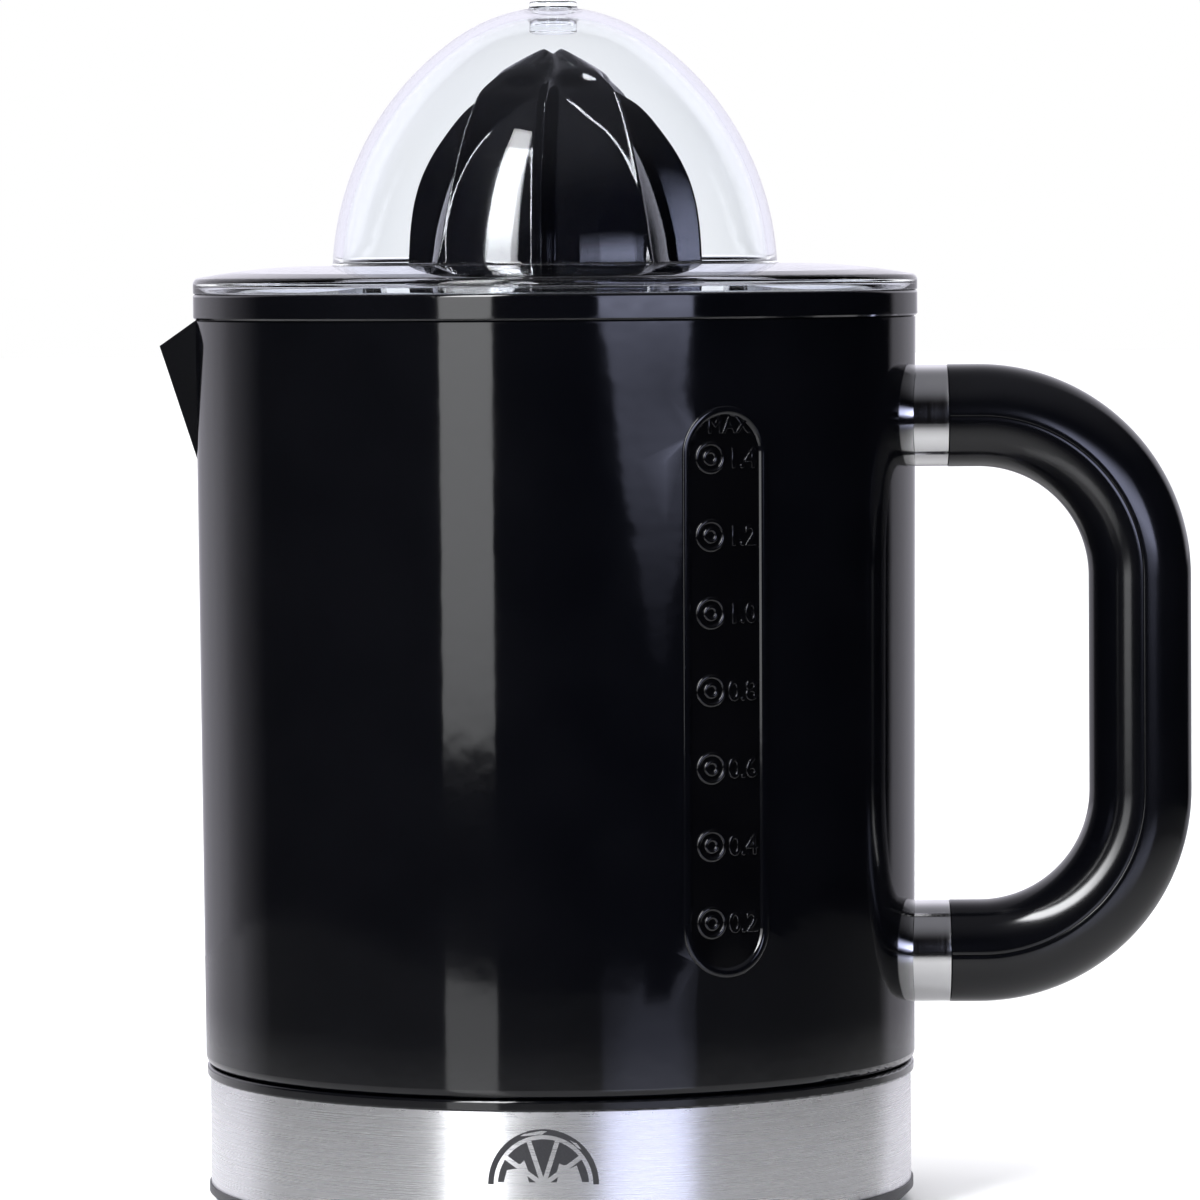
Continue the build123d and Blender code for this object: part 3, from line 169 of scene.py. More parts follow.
# ---------------------------------------------------------------- materials, one for each slot
def gloss_black():
    """High-gloss moulded plastic: faint orange peel and polishing marks."""
    tree, shader = fresh("gloss_black", IOR=1.5, Metallic=0.0)
    haze = noise(tree, 28, 3)
    marks = noise(tree, 900, 2)
    worn = edge_wear(tree, "Z", (seat_z, collar_z, collar_high), 1.0, 350)
    haze_roughness = spread(tree, haze, 0.3, 0.7, 0.045, 0.075)
    mark_roughness = spread(tree, marks, 0.4, 0.8, 0, 0.012)
    roughness = sums(tree, "ADD", haze_roughness, mark_roughness)
    roughness = sums(tree, "MULTIPLY_ADD", worn, 0.12, roughness)
    # the grip, beyond the ferrules, is a little duller
    across = node(tree, "SeparateXYZ", Vector=place(tree))
    grip = spread(tree, across.outputs["X"], (ferrule_end - 0.5) * MM, ferrule_end * MM, 0.0, 0.08)
    roughness = sums(tree, "ADD", roughness, grip)
    cold, warm = (0.0009, 0.0010, 0.0016), (0.0014, 0.0015, 0.0022)
    colour = ramp(tree, noise(tree, 60, 2), [(0.35, cold), (0.65, warm)])
    peel = bump(tree, noise(tree, 210, 1), 0.010)
    wire(tree, shader, Roughness=roughness, Base_Color=colour, Normal=peel)


def satin_black():
    """Fine spark-eroded plastic of the parts inside and underneath."""
    tree, shader = fresh("satin_black", IOR=1.5, Metallic=0.0)
    grain = noise(tree, 2600, 2)
    roughness = spread(tree, noise(tree, 120, 3), 0.3, 0.7, 0.34, 0.46)
    colour = ramp(tree, grain, [(0.3, (0.012, 0.012, 0.014)), (0.7, (0.022, 0.022, 0.025))])
    wire(tree, shader, Roughness=roughness, Base_Color=colour, Normal=bump(tree, grain, 0.03))


def clear_plastic():
    """Clear moulded cover with a cold tint and slight flow marks."""
    settings = {"IOR": 1.3, "Metallic": 0.0, "Transmission_Weight": 1.0, "Specular_IOR_Level": 0.3}
    tree, shader = fresh("clear_plastic", **settings)
    colour = ramp(tree, noise(tree, 20, 2), [(0.3, (0.945, 0.965, 1.0)), (0.7, (0.965, 0.98, 1.0))])
    roughness = spread(tree, noise(tree, 45, 3), 0.35, 0.7, 0.004, 0.022)
    flow = bump(tree, noise(tree, 26, 2), 0.02)
    wire(tree, shader, Base_Color=colour, Roughness=roughness, Normal=flow)


def smoked_window():
    """Smoked strip that lets a little light through."""
    tree, shader = fresh("smoked_window", IOR=1.5, Metallic=0.0, Transmission_Weight=0.1)
    dark, light = (0.0009, 0.0009, 0.0013), (0.0014, 0.0014, 0.0018)
    colour = ramp(tree, noise(tree, 80, 2), [(0.3, dark), (0.7, light)])
    roughness = spread(tree, noise(tree, 300, 3), 0.3, 0.7, 0.05, 0.09)
    wire(tree, shader, Base_Color=colour, Roughness=roughness, Normal=bump(tree, noise(tree, 500, 1), 0.003))


def brushed_band():
    """Stainless band, brushed round its circumference."""
    tree, shader = fresh("brushed_band", Metallic=1.0, IOR=1.5, Anisotropic=0.75, Anisotropic_Rotation=0.25)
    fine = noise(tree, 1, 4, 0.7, factors=(24, 24, 9000))
    coarse = noise(tree, 1, 3, 0.6, factors=(9, 9, 1800))
    streaks = sums(tree, "ADD", sums(tree, "MULTIPLY", fine, 0.6), sums(tree, "MULTIPLY", coarse, 0.4))
    colour = ramp(tree, streaks, [(0.3, (0.73, 0.73, 0.75)), (0.7, (0.77, 0.77, 0.785))])
    worn = edge_wear(tree, "Z", (band_low, band_high), 1.2, 260)
    roughness = sums(tree, "MULTIPLY_ADD", worn, 0.12, spread(tree, streaks, 0.3, 0.7, 0.24, 0.31))
    tangent = node(tree, "Tangent", {"direction_type": "RADIAL", "axis": "Z"}).outputs[0]
    grooves = bump(tree, streaks, 0.004)
    wire(tree, shader, Base_Color=colour, Roughness=roughness, Normal=grooves, Tangent=tangent)


def ferrule_chrome():
    """Polished and plated rings between the jug and the handle."""
    tree, shader = fresh("ferrule_chrome", Metallic=1.0, IOR=1.5)
    lines = noise(tree, 1, 3, 0.6, factors=(2200, 30, 30))
    colour = ramp(tree, noise(tree, 150, 2), [(0.3, (0.74, 0.74, 0.75)), (0.7, (0.80, 0.80, 0.80))])
    worn = edge_wear(tree, "X", (ferrule_end,), 0.9, 500)
    roughness = sums(tree, "MULTIPLY_ADD", worn, 0.15, spread(tree, lines, 0.3, 0.7, 0.06, 0.13))
    wire(tree, shader, Base_Color=colour, Roughness=roughness, Normal=bump(tree, lines, 0.004))


def black_rubber():
    """Soft rubber with a dusty, slightly uneven skin."""
    tree, shader = fresh("black_rubber", IOR=1.45, Metallic=0.0)
    grain = noise(tree, 1800, 3)
    dusty = sums(tree, "ADD", noise(tree, 90, 4), edge_wear(tree, "Z", (0.0,), 1.5, 400))
    clean, used, dust = (0.012, 0.012, 0.012), (0.024, 0.023, 0.022), (0.05, 0.048, 0.046)
    colour = ramp(tree, dusty, [(0.3, clean), (0.7, used), (1.0, dust)])
    roughness = spread(tree, grain, 0.3, 0.7, 0.62, 0.8)
    wire(tree, shader, Base_Color=colour, Roughness=roughness, Normal=bump(tree, grain, 0.05))


def moulded(slot, dark, light, rough):
    """Plain engineering plastic: cloudy colour, fine grain."""
    tree, shader = fresh(slot, IOR=1.5, Metallic=0.0)
    grain = noise(tree, 1600, 3)
    colour = ramp(tree, noise(tree, 140, 4), [(0.3, dark), (0.7, light)])
    roughness = spread(tree, grain, 0.3, 0.7, rough - 0.06, rough + 0.06)
    wire(tree, shader, Base_Color=colour, Roughness=roughness, Normal=bump(tree, grain, 0.015))


def turned_metal(slot, dark, light, rough):
    """Machined metal: fine turning lines round Z and cloudy oxide."""
    tree, shader = fresh(slot, Metallic=1.0, IOR=1.5)
    lines = noise(tree, 1, 3, 0.6, factors=(60, 60, 5200))
    cloud = noise(tree, 220, 4)
    colour = ramp(tree, cloud, [(0.3, dark), (0.7, light)])
    roughness = spread(tree, cloud, 0.3, 0.7, rough - 0.08, rough)
    roughness = sums(tree, "ADD", roughness, sums(tree, "MULTIPLY", lines, 0.1))
    wire(tree, shader, Base_Color=colour, Roughness=roughness, Normal=bump(tree, lines, 0.01))


def copper_wire():
    """Enamelled wire laid in turns along the coils."""
    tree, shader = fresh("copper_wire", Metallic=0.85, IOR=1.5, Coat_Weight=0.6, Coat_Roughness=0.08)
    turns = node(tree, "TexWave", {"bands_direction": "X"}, Vector=place(tree), Scale=420, Distortion=0.4)
    colour = ramp(tree, turns.outputs["Fac"], [(0.0, (0.20, 0.055, 0.018)), (0.8, (0.62, 0.22, 0.085))])
    roughness = spread(tree, noise(tree, 500, 3), 0.3, 0.7, 0.22, 0.4)
    wire(tree, shader, Base_Color=colour, Roughness=roughness, Normal=bump(tree, turns.outputs["Fac"], 0.12))


def laminations():
    """Stack of varnished steel sheets, half a millimetre each."""
    tree, shader = fresh("laminations", Metallic=0.8, IOR=1.5)
    sheets = node(tree, "TexWave", {"bands_direction": "Z"}, Vector=place(tree), Scale=314, Distortion=0.0)
    stains = noise(tree, 200, 4)
    colour = ramp(tree, stains, [(0.3, (0.09, 0.085, 0.08)), (0.7, (0.20, 0.195, 0.19))])
    roughness = spread(tree, stains, 0.3, 0.7, 0.35, 0.6)
    wire(tree, shader, Base_Color=colour, Roughness=roughness, Normal=bump(tree, sheets.outputs["Fac"], 0.08))


def make_materials():
    """Fills the material of every slot, one by one."""
    gloss_black()
    satin_black()
    clear_plastic()
    smoked_window()
    brushed_band()
    ferrule_chrome()
    black_rubber()
    copper_wire()
    laminations()
    moulded("nylon", (0.62, 0.60, 0.54), (0.74, 0.72, 0.66), 0.38)
    moulded("grey_plastic", (0.16, 0.165, 0.17), (0.22, 0.225, 0.23), 0.42)
    moulded("bobbin_plastic", (0.58, 0.56, 0.50), (0.70, 0.68, 0.61), 0.45)
    moulded("ferrite", (0.035, 0.034, 0.034), (0.06, 0.058, 0.057), 0.5)
    turned_metal("bronze", (0.42, 0.25, 0.11), (0.58, 0.37, 0.17), 0.38)
    turned_metal("steel", (0.42, 0.42, 0.42), (0.58, 0.58, 0.58), 0.32)
    turned_metal("zinc_screws", (0.46, 0.47, 0.48), (0.62, 0.63, 0.64), 0.34)


# ---------------------------------------------------------------- mesh helpers
def outward(mesh):
    """Turns every face of a closed mesh outwards."""
    work = bmesh.new()
    work.from_mesh(mesh)
    bmesh.ops.recalc_face_normals(work, faces=work.faces)
    work.to_mesh(mesh)
    work.free()


def piece(name, points, faces, slot, body, *replaced, sharp=40):
    """Makes a piece from points in millimetres; it rides on body and stands for the replaced nodes."""
    mesh = bpy.data.meshes.new(name)
    mesh.from_pydata([Vector(point) * MM for point in points], [], faces)
    mesh.validate()
    outward(mesh)
    made = bpy.data.objects.new(name, mesh)
    scene.collection.objects.link(made)
    mesh.materials.append(bpy.data.materials[slot])
    mesh.shade_smooth()
    mesh.set_sharp_from_angle(angle=radians(sharp))
    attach(made, body)
    if replaced:
        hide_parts(*replaced)
    return made


def bridge(low, high):
    """Faces between two rings of point numbers; a ring of one point is a tip."""
    count = max(len(low), len(high))
    faces = []
    for i in range(count):
        j = (i + 1) % count
        if len(high) == 1:
            faces.append((low[i], low[j], high[0]))
        elif len(low) == 1:
            faces.append((low[0], high[j], high[i]))
        else:
            faces.append((low[i], low[j], high[j], high[i]))
    return faces


def lofted(rings, closed=False):
    """Points and faces of a skin through rings of points; closed joins the last ring to the first."""
    points = []
    numbers = []
    for ring in rings:
        numbers.append(range(len(points), len(points) + len(ring)))
        points.extend(ring)
    faces = []
    for low, high in zip(numbers, numbers[1:]):
        faces.extend(bridge(low, high))
    if closed:
        faces.extend(bridge(numbers[-1], numbers[0]))
    return points, faces


def spun(profile, segments=256, closed=False):
    """Skin of a (radius, height) profile turned about Z; a profile point with radius 0 is a tip."""
    rings = []
    for radius, height in profile:
        turns = 1 if radius == 0 else segments
        rings.append([
            (radius * cos(2 * pi * i / segments), radius * sin(2 * pi * i / segments), height)
            for i in range(turns)
        ])
    return lofted(rings, closed)


def rounded(corners, steps=6):
    """Outline through (x, y, fillet radius) corners, with the fillets as arcs; ends stay as they are."""
    outline = []
    for i, (x, y, radius) in enumerate(corners):
        if radius == 0 or i in (0, len(corners) - 1):
            outline.append((x, y))
            continue
        here = Vector((x, y))
        back = (Vector(corners[i - 1][:2]) - here).normalized()
        ahead = (Vector(corners[i + 1][:2]) - here).normalized()
        half_angle = back.angle(ahead) / 2
        reach = radius / max(sin(half_angle) / cos(half_angle), 1e-6)
        bisector = (back + ahead).normalized()
        centre = here + bisector * radius / sin(half_angle)
        start, end = here + back * reach - centre, here + ahead * reach - centre
        sweep = start.angle_signed(end)
        for k in range(steps + 1):
            turned = Matrix.Rotation(-sweep * k / steps, 2) @ start
            outline.append(tuple(centre + turned))
    return outline


def arc(centre, radius, start, end, steps):
    """Points of an arc in the (radius, height) plane; angles are in degrees from the horizontal."""
    x, y = centre
    return [
        (x + radius * cos(radians(start + (end - start) * i / steps)),
         y + radius * sin(radians(start + (end - start) * i / steps)))
        for i in range(steps + 1)
    ]


def arc_through(a, b, c, steps):
    """Points of the arc from a through b to c."""
    (ax, ay), (bx, by), (cx, cy) = a, b, c
    d = 2 * (ax * (by - cy) + bx * (cy - ay) + cx * (ay - by))
    aa, bb, cc = ax * ax + ay * ay, bx * bx + by * by, cx * cx + cy * cy
    x = (aa * (by - cy) + bb * (cy - ay) + cc * (ay - by)) / d
    y = (aa * (cx - bx) + bb * (ax - cx) + cc * (bx - ax)) / d
    start, end = atan2(ay - y, ax - x), atan2(cy - y, cx - x)
    while end - start > pi:
        end -= 2 * pi
    while end - start < -pi:
        end += 2 * pi
    return arc((x, y), hypot(ax - x, ay - y), degrees(start), degrees(end), steps)


def smooth_curve(knots):
    """Function that follows (input, output) knots without overshoot; inputs rise."""
    xs, ys = zip(*knots)
    slopes = [(y1 - y0) / (x1 - x0) for x0, x1, y0, y1 in zip(xs, xs[1:], ys, ys[1:])]
    tangents = [slopes[0]]
    for before, after in zip(slopes, slopes[1:]):
        tangents.append(0 if before * after <= 0 else 2 * before * after / (before + after))
    tangents.append(slopes[-1])

    def at(x):
        x = min(max(x, xs[0]), xs[-1])
        i = min(max(sum(knot <= x for knot in xs) - 1, 0), len(xs) - 2)
        width = xs[i + 1] - xs[i]
        t = (x - xs[i]) / width
        return (
            ys[i] * (2 * t**3 - 3 * t**2 + 1) + tangents[i] * width * (t**3 - 2 * t**2 + t)
            + ys[i + 1] * (3 * t**2 - 2 * t**3) + tangents[i + 1] * width * (t**3 - t**2)
        )

    return at


def smoothstep(t):
    """Smooth step from 0 to 1 as t goes from 0 to 1."""
    t = min(max(t, 0), 1)
    return t * t * (3 - 2 * t)


# ---------------------------------------------------------------- dust cover
cover_wall = 1.8
crown_z = 185.4
dome_foot_z = 186.0
# the dome's outline is two arcs: a cap, down to cap_angle from the axis, and the flatter sides
dome_top_z = 235.86
cap_r, cap_angle = 33.6, 34.8
side_r = 57.3
cap_centre = (0, dome_top_z - cap_r)
side_centre = (
    (cap_r - side_r) * sin(radians(cap_angle)),
    cap_centre[1] + (cap_r - side_r) * cos(radians(cap_angle)),
)
cover_rim_z = 183.3
flange_low_z = 180.0
flange_r = 70.2  # where the flange's top turns down
step_r = 69.4  # inside of the flange's edge
lip_r, lip_wall = 65.4, 1.6
knob_r = 4.7
well_r, well_z = 3.3, 232.4  # hollow in the knob's top
plug_high_z, plug_low_z = 233.4, 230.8  # of the knob's plug, which hangs inside the dome


def dome_arcs(inset, top_r, foot_z):
    """Points of the dome's outline, or its inside at the inset, from radius top_r down to foot_z."""
    cap, side = cap_r - inset, side_r - inset
    first = degrees(acos(top_r / cap))
    last = degrees(asin((foot_z - side_centre[1]) / side))
    meeting = 90 - cap_angle
    return arc(cap_centre, cap, first, meeting, 32) + arc(side_centre, side, meeting, last, 40)[1:]


def dust_cover():
    """Clear cover: knob, dome, crowned flange and lip, as one turned skin."""
    rim_out = node_box("dust_cover")[1].x
    roof_z = crown_z - cover_wall  # underside of the crown
    lip_root_z = cover_rim_z - 1.5
    lip_in = lip_r - lip_wall
    outside = dome_arcs(0, knob_r + 0.7, dome_foot_z)
    inside = dome_arcs(cover_wall, knob_r + 0.5, roof_z)[::-1]
    foot_r, inner_foot_r = outside[-1][0], inside[0][0]
    profile = [(0, well_z)]
    profile += rounded([
        (0.4, well_z, 0), (well_r, well_z, 0.6), (well_r, knob_top, 0.45), (knob_r, knob_top, 0.5),
        (knob_r, outside[0][1], 0.5), (knob_r + 0.7, outside[0][1], 0),
    ])[:-1]
    profile += outside[:-1]
    crown_start = (foot_r + 1.1, crown_z - 0.1)
    profile += arc_through((foot_r, dome_foot_z), (foot_r + 0.3, crown_z), crown_start, 6)
    flange_end = (flange_r, cover_rim_z - 0.2)
    profile += arc_through(crown_start, (58.5, 184.75), flange_end, 28)[1:]
    profile += arc_through(flange_end, (70.9, cover_rim_z - 0.6), (rim_out, cover_rim_z - 1.4), 8)[1:]
    profile += rounded([
        (rim_out, cover_rim_z - 1.6, 0), (rim_out, flange_low_z, 0.25), (step_r, flange_low_z, 0.2),
        (step_r, cover_rim_z - 1.9, 0.3), (lip_r, lip_root_z, 0.4), (lip_r, lip_low, 0.4),
        (lip_in, lip_low, 0.4), (lip_in, lip_root_z, 0),
    ], 4)
    under_end = (inner_foot_r + 0.5, roof_z - 0.02)
    profile += arc_through((lip_in, cover_rim_z - 1.3), (55, 183.0), under_end, 28)
    profile += [(inner_foot_r + 0.12, roof_z + 0.15)]
    profile += [point for point in inside if point[1] > roof_z + 0.5]
    profile += rounded([
        (*inside[-1], 0), (knob_r, plug_high_z, 0.3), (knob_r, plug_low_z, 0.5), (0.4, plug_low_z, 0),
    ])[1:]
    profile.append((0, plug_low_z))
    points, faces = spun(profile, 320)
    cover = piece("clear_dust_cover", points, faces, "clear_plastic", "cover", "dust_cover", sharp=60)
    cover.visible_shadow = False
    return cover


# ---------------------------------------------------------------- pressing cone
cone_z = 184.0  # the ribs' feet
skirt_rise = 3.0  # from the skirt's edge to the ribs' feet
skirt_wall = 2.4
boss_r, boss_low_z = 11.5, 177.0
hollow_z = 200.0  # roof of the hollow round the boss
socket_across, socket_z = 15.3, 190.8  # hexagon that keys the cone to its carrier, and its roof
shaft_bore_r, shaft_bore_z = 4.9, 196.1
first_short_rib = -95.0  # azimuth of the short rib nearest the front
half_sector = 45.0  # from a short rib to the next tall one
# (height over the ribs' feet, radius)
tall_crest = smooth_curve([
    (-3, 29.5), (0, 29.5), (7, 28.1), (15.3, 26.1), (21.5, 24.4), (27.3, 22.4), (31, 20.7),
    (34.5, 18.6), (38, 14.0), (39.2, 12.0),
])
short_crest = smooth_curve([
    (-3, 29.3), (0, 29.1), (7.2, 28.7), (12.1, 28.1), (16.9, 26.9), (21.7, 24.8), (27.7, 20.8), (32.2, 16.8),
    (35.0, 12.4), (36.9, 9.2), (38.4, 6.2), (39.2, 5.3),
])
valley = smooth_curve([
    (-3, 25.0), (0, 24.0), (7, 23.2), (14, 21.6), (21, 19.0), (27, 15.6), (28.8, 14.1),
    (33.5, 10.5), (38.4, 6.2), (39.2, 5.3),
])
# (height over the ribs' feet, radius of the panels' bulge) and (height, how far its centre stands aside)
panel_arc = smooth_curve([(0, 36.0), (28.8, 40.0)])
valley_shift = smooth_curve([(0, 4.0), (14, 3.2), (28.8, 2.2)])
flank_slope = 1.9  # fall of a tall rib's flank for each millimetre to its side
fin_half_width = 2.0
tall_softness, fin_softness = 0.012, 0.006  # rounding of the crests, as a share of the radius
panel_softness, root_softness = 0.4, 0.35  # rounding where ribs meet the panels, in millimetres
merge_z = 35.6  # from this height the ribs run together
top_z = 39.2  # above this height the top is one smooth surface
# (radius, height) of the top along a tall rib and along a short rib's azimuth
tall_top = [(12.0, 39.2), (10.0, 40.2), (6.5, 41.8), (3.0, 43.2), (2.0, 43.2), (1.0, 42.75), (0, 42.55)]
short_top = [(5.3, 39.2), (4.4, 40.1), (3.3, 41.2), (2.2, 42.0), (1.4, 42.4), (0.7, 42.55), (0, 42.55)]


def smooth_max(a, b, softness):
    """The larger of a and b, with the change from one to the other rounded."""
    return (a + b + sqrt((a - b)**2 + softness**2)) / 2


def cone_radius(offset, h):
    """Radius of the cone's skin at an angle from the nearest short rib, in radians, and height h."""
    along, aside = cos(offset), sin(offset)
    level = max(h, 0)
    # panel: an arc that bulges out. Its centre is moved aside, which leaves a valley at the short rib
    bulge, shift, foot = panel_arc(level), valley_shift(level), valley(h)
    centre = foot - sqrt(bulge**2 - shift**2)
    dot = centre * along + shift * aside
    panel = dot + sqrt(dot**2 - centre**2 - shift**2 + bulge**2)
    # tall rib: straight flanks that fall away from its crest
    side = radians(half_sector) - offset
    lateral = hypot(sin(side), tall_softness) - tall_softness
    tall = tall_crest(h) / (cos(side) + flank_slope * lateral)
    # short rib: a thin fin with straight flanks
    rise = max(short_crest(h) - foot, 0)
    lateral = hypot(aside, fin_softness) - fin_softness
    fin = short_crest(h) / (along + rise / fin_half_width * lateral)
    radius = smooth_max(panel, tall, panel_softness)
    if rise > 0.01:
        radius = smooth_max(radius, fin, min(root_softness, rise))
    merged = valley(h) + (tall_crest(h) - valley(h)) * smoothstep(offset / radians(half_sector))
    blend = smoothstep((h - merge_z) / (top_z - merge_z))
    radius += (merged - radius) * blend
    if h < 0:
        radius += (skirt_r - 0.4 - radius) * smoothstep(-h / skirt_rise)
    return radius


def sector_offsets():
    """Angles from a short rib to a tall one, in degrees, close together at the two crests."""
    offsets = [0, 0.12, 0.28, 0.5, 0.8]
    while offsets[-1] < 6:
        offsets.append(offsets[-1] + 0.4)
    while offsets[-1] < 18:
        offsets.append(offsets[-1] + 0.75)
    while offsets[-1] < 43.6:
        offsets.append(offsets[-1] + 0.4)
    return offsets + [44.3, 44.6, 44.82, half_sector]


def cone_angles():
    """(azimuth, angle from the nearest short rib) all the way round, in radians."""
    angles = []
    steps = sector_offsets()
    for sector in range(4):
        middle = first_short_rib + 90 * sector
        for offset in reversed(steps[1:]):
            angles.append((radians(middle - offset), radians(offset)))
        for offset in steps[:-1]:
            angles.append((radians(middle + offset), radians(offset)))
    return angles


def curve_point(knots, t):
    """Point at t in 0..1 of a Catmull-Rom curve through knots."""
    scaled = t * (len(knots) - 1)
    i = min(int(scaled), len(knots) - 2)
    u = scaled - i
    before, start = knots[max(i - 1, 0)], knots[i]
    end, after = knots[i + 1], knots[min(i + 2, len(knots) - 1)]
    return [
        0.5 * (2 * s + (e - b) * u + (2 * b - 5 * s + 4 * e - a) * u**2 + (3 * s - b - 3 * e + a) * u**3)
        for b, s, e, a in zip(before, start, end, after)
    ]


def reamer_cone():
    """Ribbed pressing cone: outer skin ring by ring, then the skirt's inside, the boss and its hexagon."""
    angles = cone_angles()

    def ring(radius_at, z_at):
        return [
            (radius_at(a, o) * cos(a), radius_at(a, o) * sin(a), z_at(a, o)) for a, o in angles
        ]

    def plain(radius, z):
        return ring(lambda a, o: radius, lambda a, o: z)

    rings = [plain(skirt_r - 0.15, skirt_low), plain(skirt_r, skirt_low + 0.2)]
    low_steps = 8
    for i in range(low_steps):
        height = -skirt_rise + skirt_rise * i / low_steps
        rings.append(ring(lambda a, o: cone_radius(o, height), lambda a, o: cone_z + height))
    levels = 66
    for i in range(levels + 1):
        height = top_z * i / levels
        rings.append(ring(lambda a, o: cone_radius(o, height), lambda a, o: cone_z + height))
    top_steps = 24
    for i in range(1, top_steps):
        t = i / top_steps

        def at(o, axis):
            share = smoothstep(o / radians(half_sector))
            low = curve_point(short_top, t)[axis]
            return low + (curve_point(tall_top, t)[axis] - low) * share

        rings.append(ring(lambda a, o: max(at(o, 0), 0.02), lambda a, o: cone_z + at(o, 1)))
    rings.append([(0, 0, cone_z + short_top[-1][1])])
    rings.reverse()
    # inside of the skirt up to the hollow's roof, down the boss, up its hexagonal socket and shaft bore
    hollow = [
        (skirt_r - skirt_wall, skirt_low), (skirt_r - skirt_wall - 0.2, skirt_low + 0.3),
        (27.1, 179), (21.5, cone_z), (16.7, hollow_z - 0.2), (16.3, hollow_z),
        (boss_r + 0.4, hollow_z), (boss_r, hollow_z - 0.4),
        (boss_r, boss_low_z + 0.2), (boss_r - 0.2, boss_low_z),
    ]
    for radius, z in hollow:
        rings.append(plain(radius, z))

    def hexagon(a, o):
        turned = (degrees(a) - 30) % 60 - 30
        return socket_across / 2 / cos(radians(turned))

    rings.append(ring(lambda a, o: hexagon(a, o) + 0.2, lambda a, o: boss_low_z))
    rings.append(ring(hexagon, lambda a, o: boss_low_z + 0.2))
    rings.append(ring(hexagon, lambda a, o: socket_z))
    rings.append(plain(shaft_bore_r, socket_z))
    rings.append(plain(shaft_bore_r, shaft_bore_z))
    rings.append([(0, 0, shaft_bore_z)])
    points, faces = lofted(rings)
    return piece("pressing_cone", points, faces, "gloss_black", "cone", "reamer_cone", sharp=50)


# ---------------------------------------------------------------- handle
handle_r = 10.1
handle_bore_r = 7.9
handle_high_z, handle_low_z = 155.1, 49.3
handle_x = 114.9
handle_bend_r = 31.8
handle_bend_steps = 48
end_bevel = 0.25


def handle_stations():
    """(point, outward direction) along the D, from the upper ferrule to the lower one."""
    arm_x = handle_x - handle_bend_r
    stations = [((x, handle_high_z), (0, 1)) for x in (ferrule_end, ferrule_end + end_bevel)]
    bends = [(handle_high_z - handle_bend_r, 90, 0), (handle_low_z + handle_bend_r, 0, -90)]
    for middle_z, start, end in bends:
        for i in range(handle_bend_steps + 1):
            angle = radians(start + (end - start) * i / handle_bend_steps)
            out = (cos(angle), sin(angle))
            stations.append(((arm_x + handle_bend_r * out[0], middle_z + handle_bend_r * out[1]), out))
    stations += [((x, handle_low_z), (0, -1)) for x in (ferrule_end + end_bevel, ferrule_end)]
    return stations


def half_section(inset):
    """Outline of half the tube, (aside, outward): outer arc with softened seam edges, then the bore."""
    seam, gap = 0.2, 0.02  # rounding of the seam's edges, and half the gap between the shells
    outer = handle_r - inset
    outline = [(outer - seam, gap), (outer - seam * 0.3, gap + seam * 0.25)]
    first = degrees(atan2(seam, outer))
    outline += arc((0, 0), outer, first, 180 - first, 40)
    outline += [(-outer + seam * 0.3, gap + seam * 0.25), (-outer + seam, gap)]
    return outline + arc((0, 0), handle_bore_r, 180, 0, 24)


def handle_shell(name, side, replaced):
    """One half shell of the handle, on the outer (+1) or inner (-1) side of the seam."""
    rings = []
    stations = handle_stations()
    for i, ((x, z), (out_x, out_z)) in enumerate(stations):
        inset = end_bevel if i in (0, len(stations) - 1) else 0
        rings.append([
            (x + side * out * out_x, side * aside, z + side * out * out_z)
            for aside, out in half_section(inset)
        ])
    points, faces = lofted(rings)
    count = len(rings[0])
    faces.append(tuple(reversed(range(count))))
    faces.append(tuple(range(len(points) - count, len(points))))
    return piece(name, points, faces, "gloss_black", "jug", replaced, sharp=35)


# ---------------------------------------------------------------- level window
window_azimuth = radians(-62.75)
window_recess = 0.3
first_mark_z = 61.2  # the lowest mark, 0.2 litres
mark_step = 14.62  # between marks of 0.2 litres
mark_count = 7
mark_out_r, mark_in_r = 3.15, 1.6
mark_aside = -3.25  # marks and numbers stand side by side
number_aside = 3.5
number_height = 3.8
window_low, window_high = node_box("window_gasket")[0].z, node_box("window_gasket")[1].z
window_half, bead_width = 9.15, 1.9
ring_half = 0.46  # half the width of a mark's raised rings


def on_window(aside, z, stand):
    """Point on the window: aside from its middle as seen from the front, stand out from its surface."""
    radius = jug_radius(z) - window_recess + stand
    angle = window_azimuth + asin(aside / radius)
    return radius * cos(angle), radius * sin(angle), z


def window_bead():
    """Frame bead with a rounded outer and inner edge, run round the window's slot."""
    # (distance in from the slot's edge, stand over the window's glass)
    section = [(0.0, -0.9), (0.0, 0.28), (0.05, 0.42), (0.16, 0.55), (0.32, 0.62), (0.5, 0.645)]
    section += [(0.95, 0.65), (1.15, 0.63), (1.35, 0.54), (1.55, 0.38), (1.72, 0.2), (1.84, 0.07)]
    section += [(bead_width, 0.02), (bead_width, -0.9)]
    low, high = window_low + window_half, window_high - window_half
    run, turn = 60, 48  # steps along each straight side and round each end
    outline = []  # (aside, z, direction out of the slot)
    for side, start, end, middle, first in ((1, low, high, high, 0), (-1, high, low, low, 1)):
        for i in range(first, run):
            outline.append((side * window_half, start + (end - start) * i / run, (side, 0)))
        for i in range(turn + 1):
            angle = radians(180 * i / turn)
            out = (side * cos(angle), side * sin(angle))
            outline.append((window_half * out[0], middle + window_half * out[1], out))
    rings = [
        [on_window(aside - inward * out[0], z - inward * out[1], stand) for inward, stand in section]
        for aside, z, out in outline[:-1]
    ]
    points, faces = lofted(rings, closed=True)
    return piece("window_bead", points, faces, "gloss_black", "jug", "window_gasket", sharp=50)


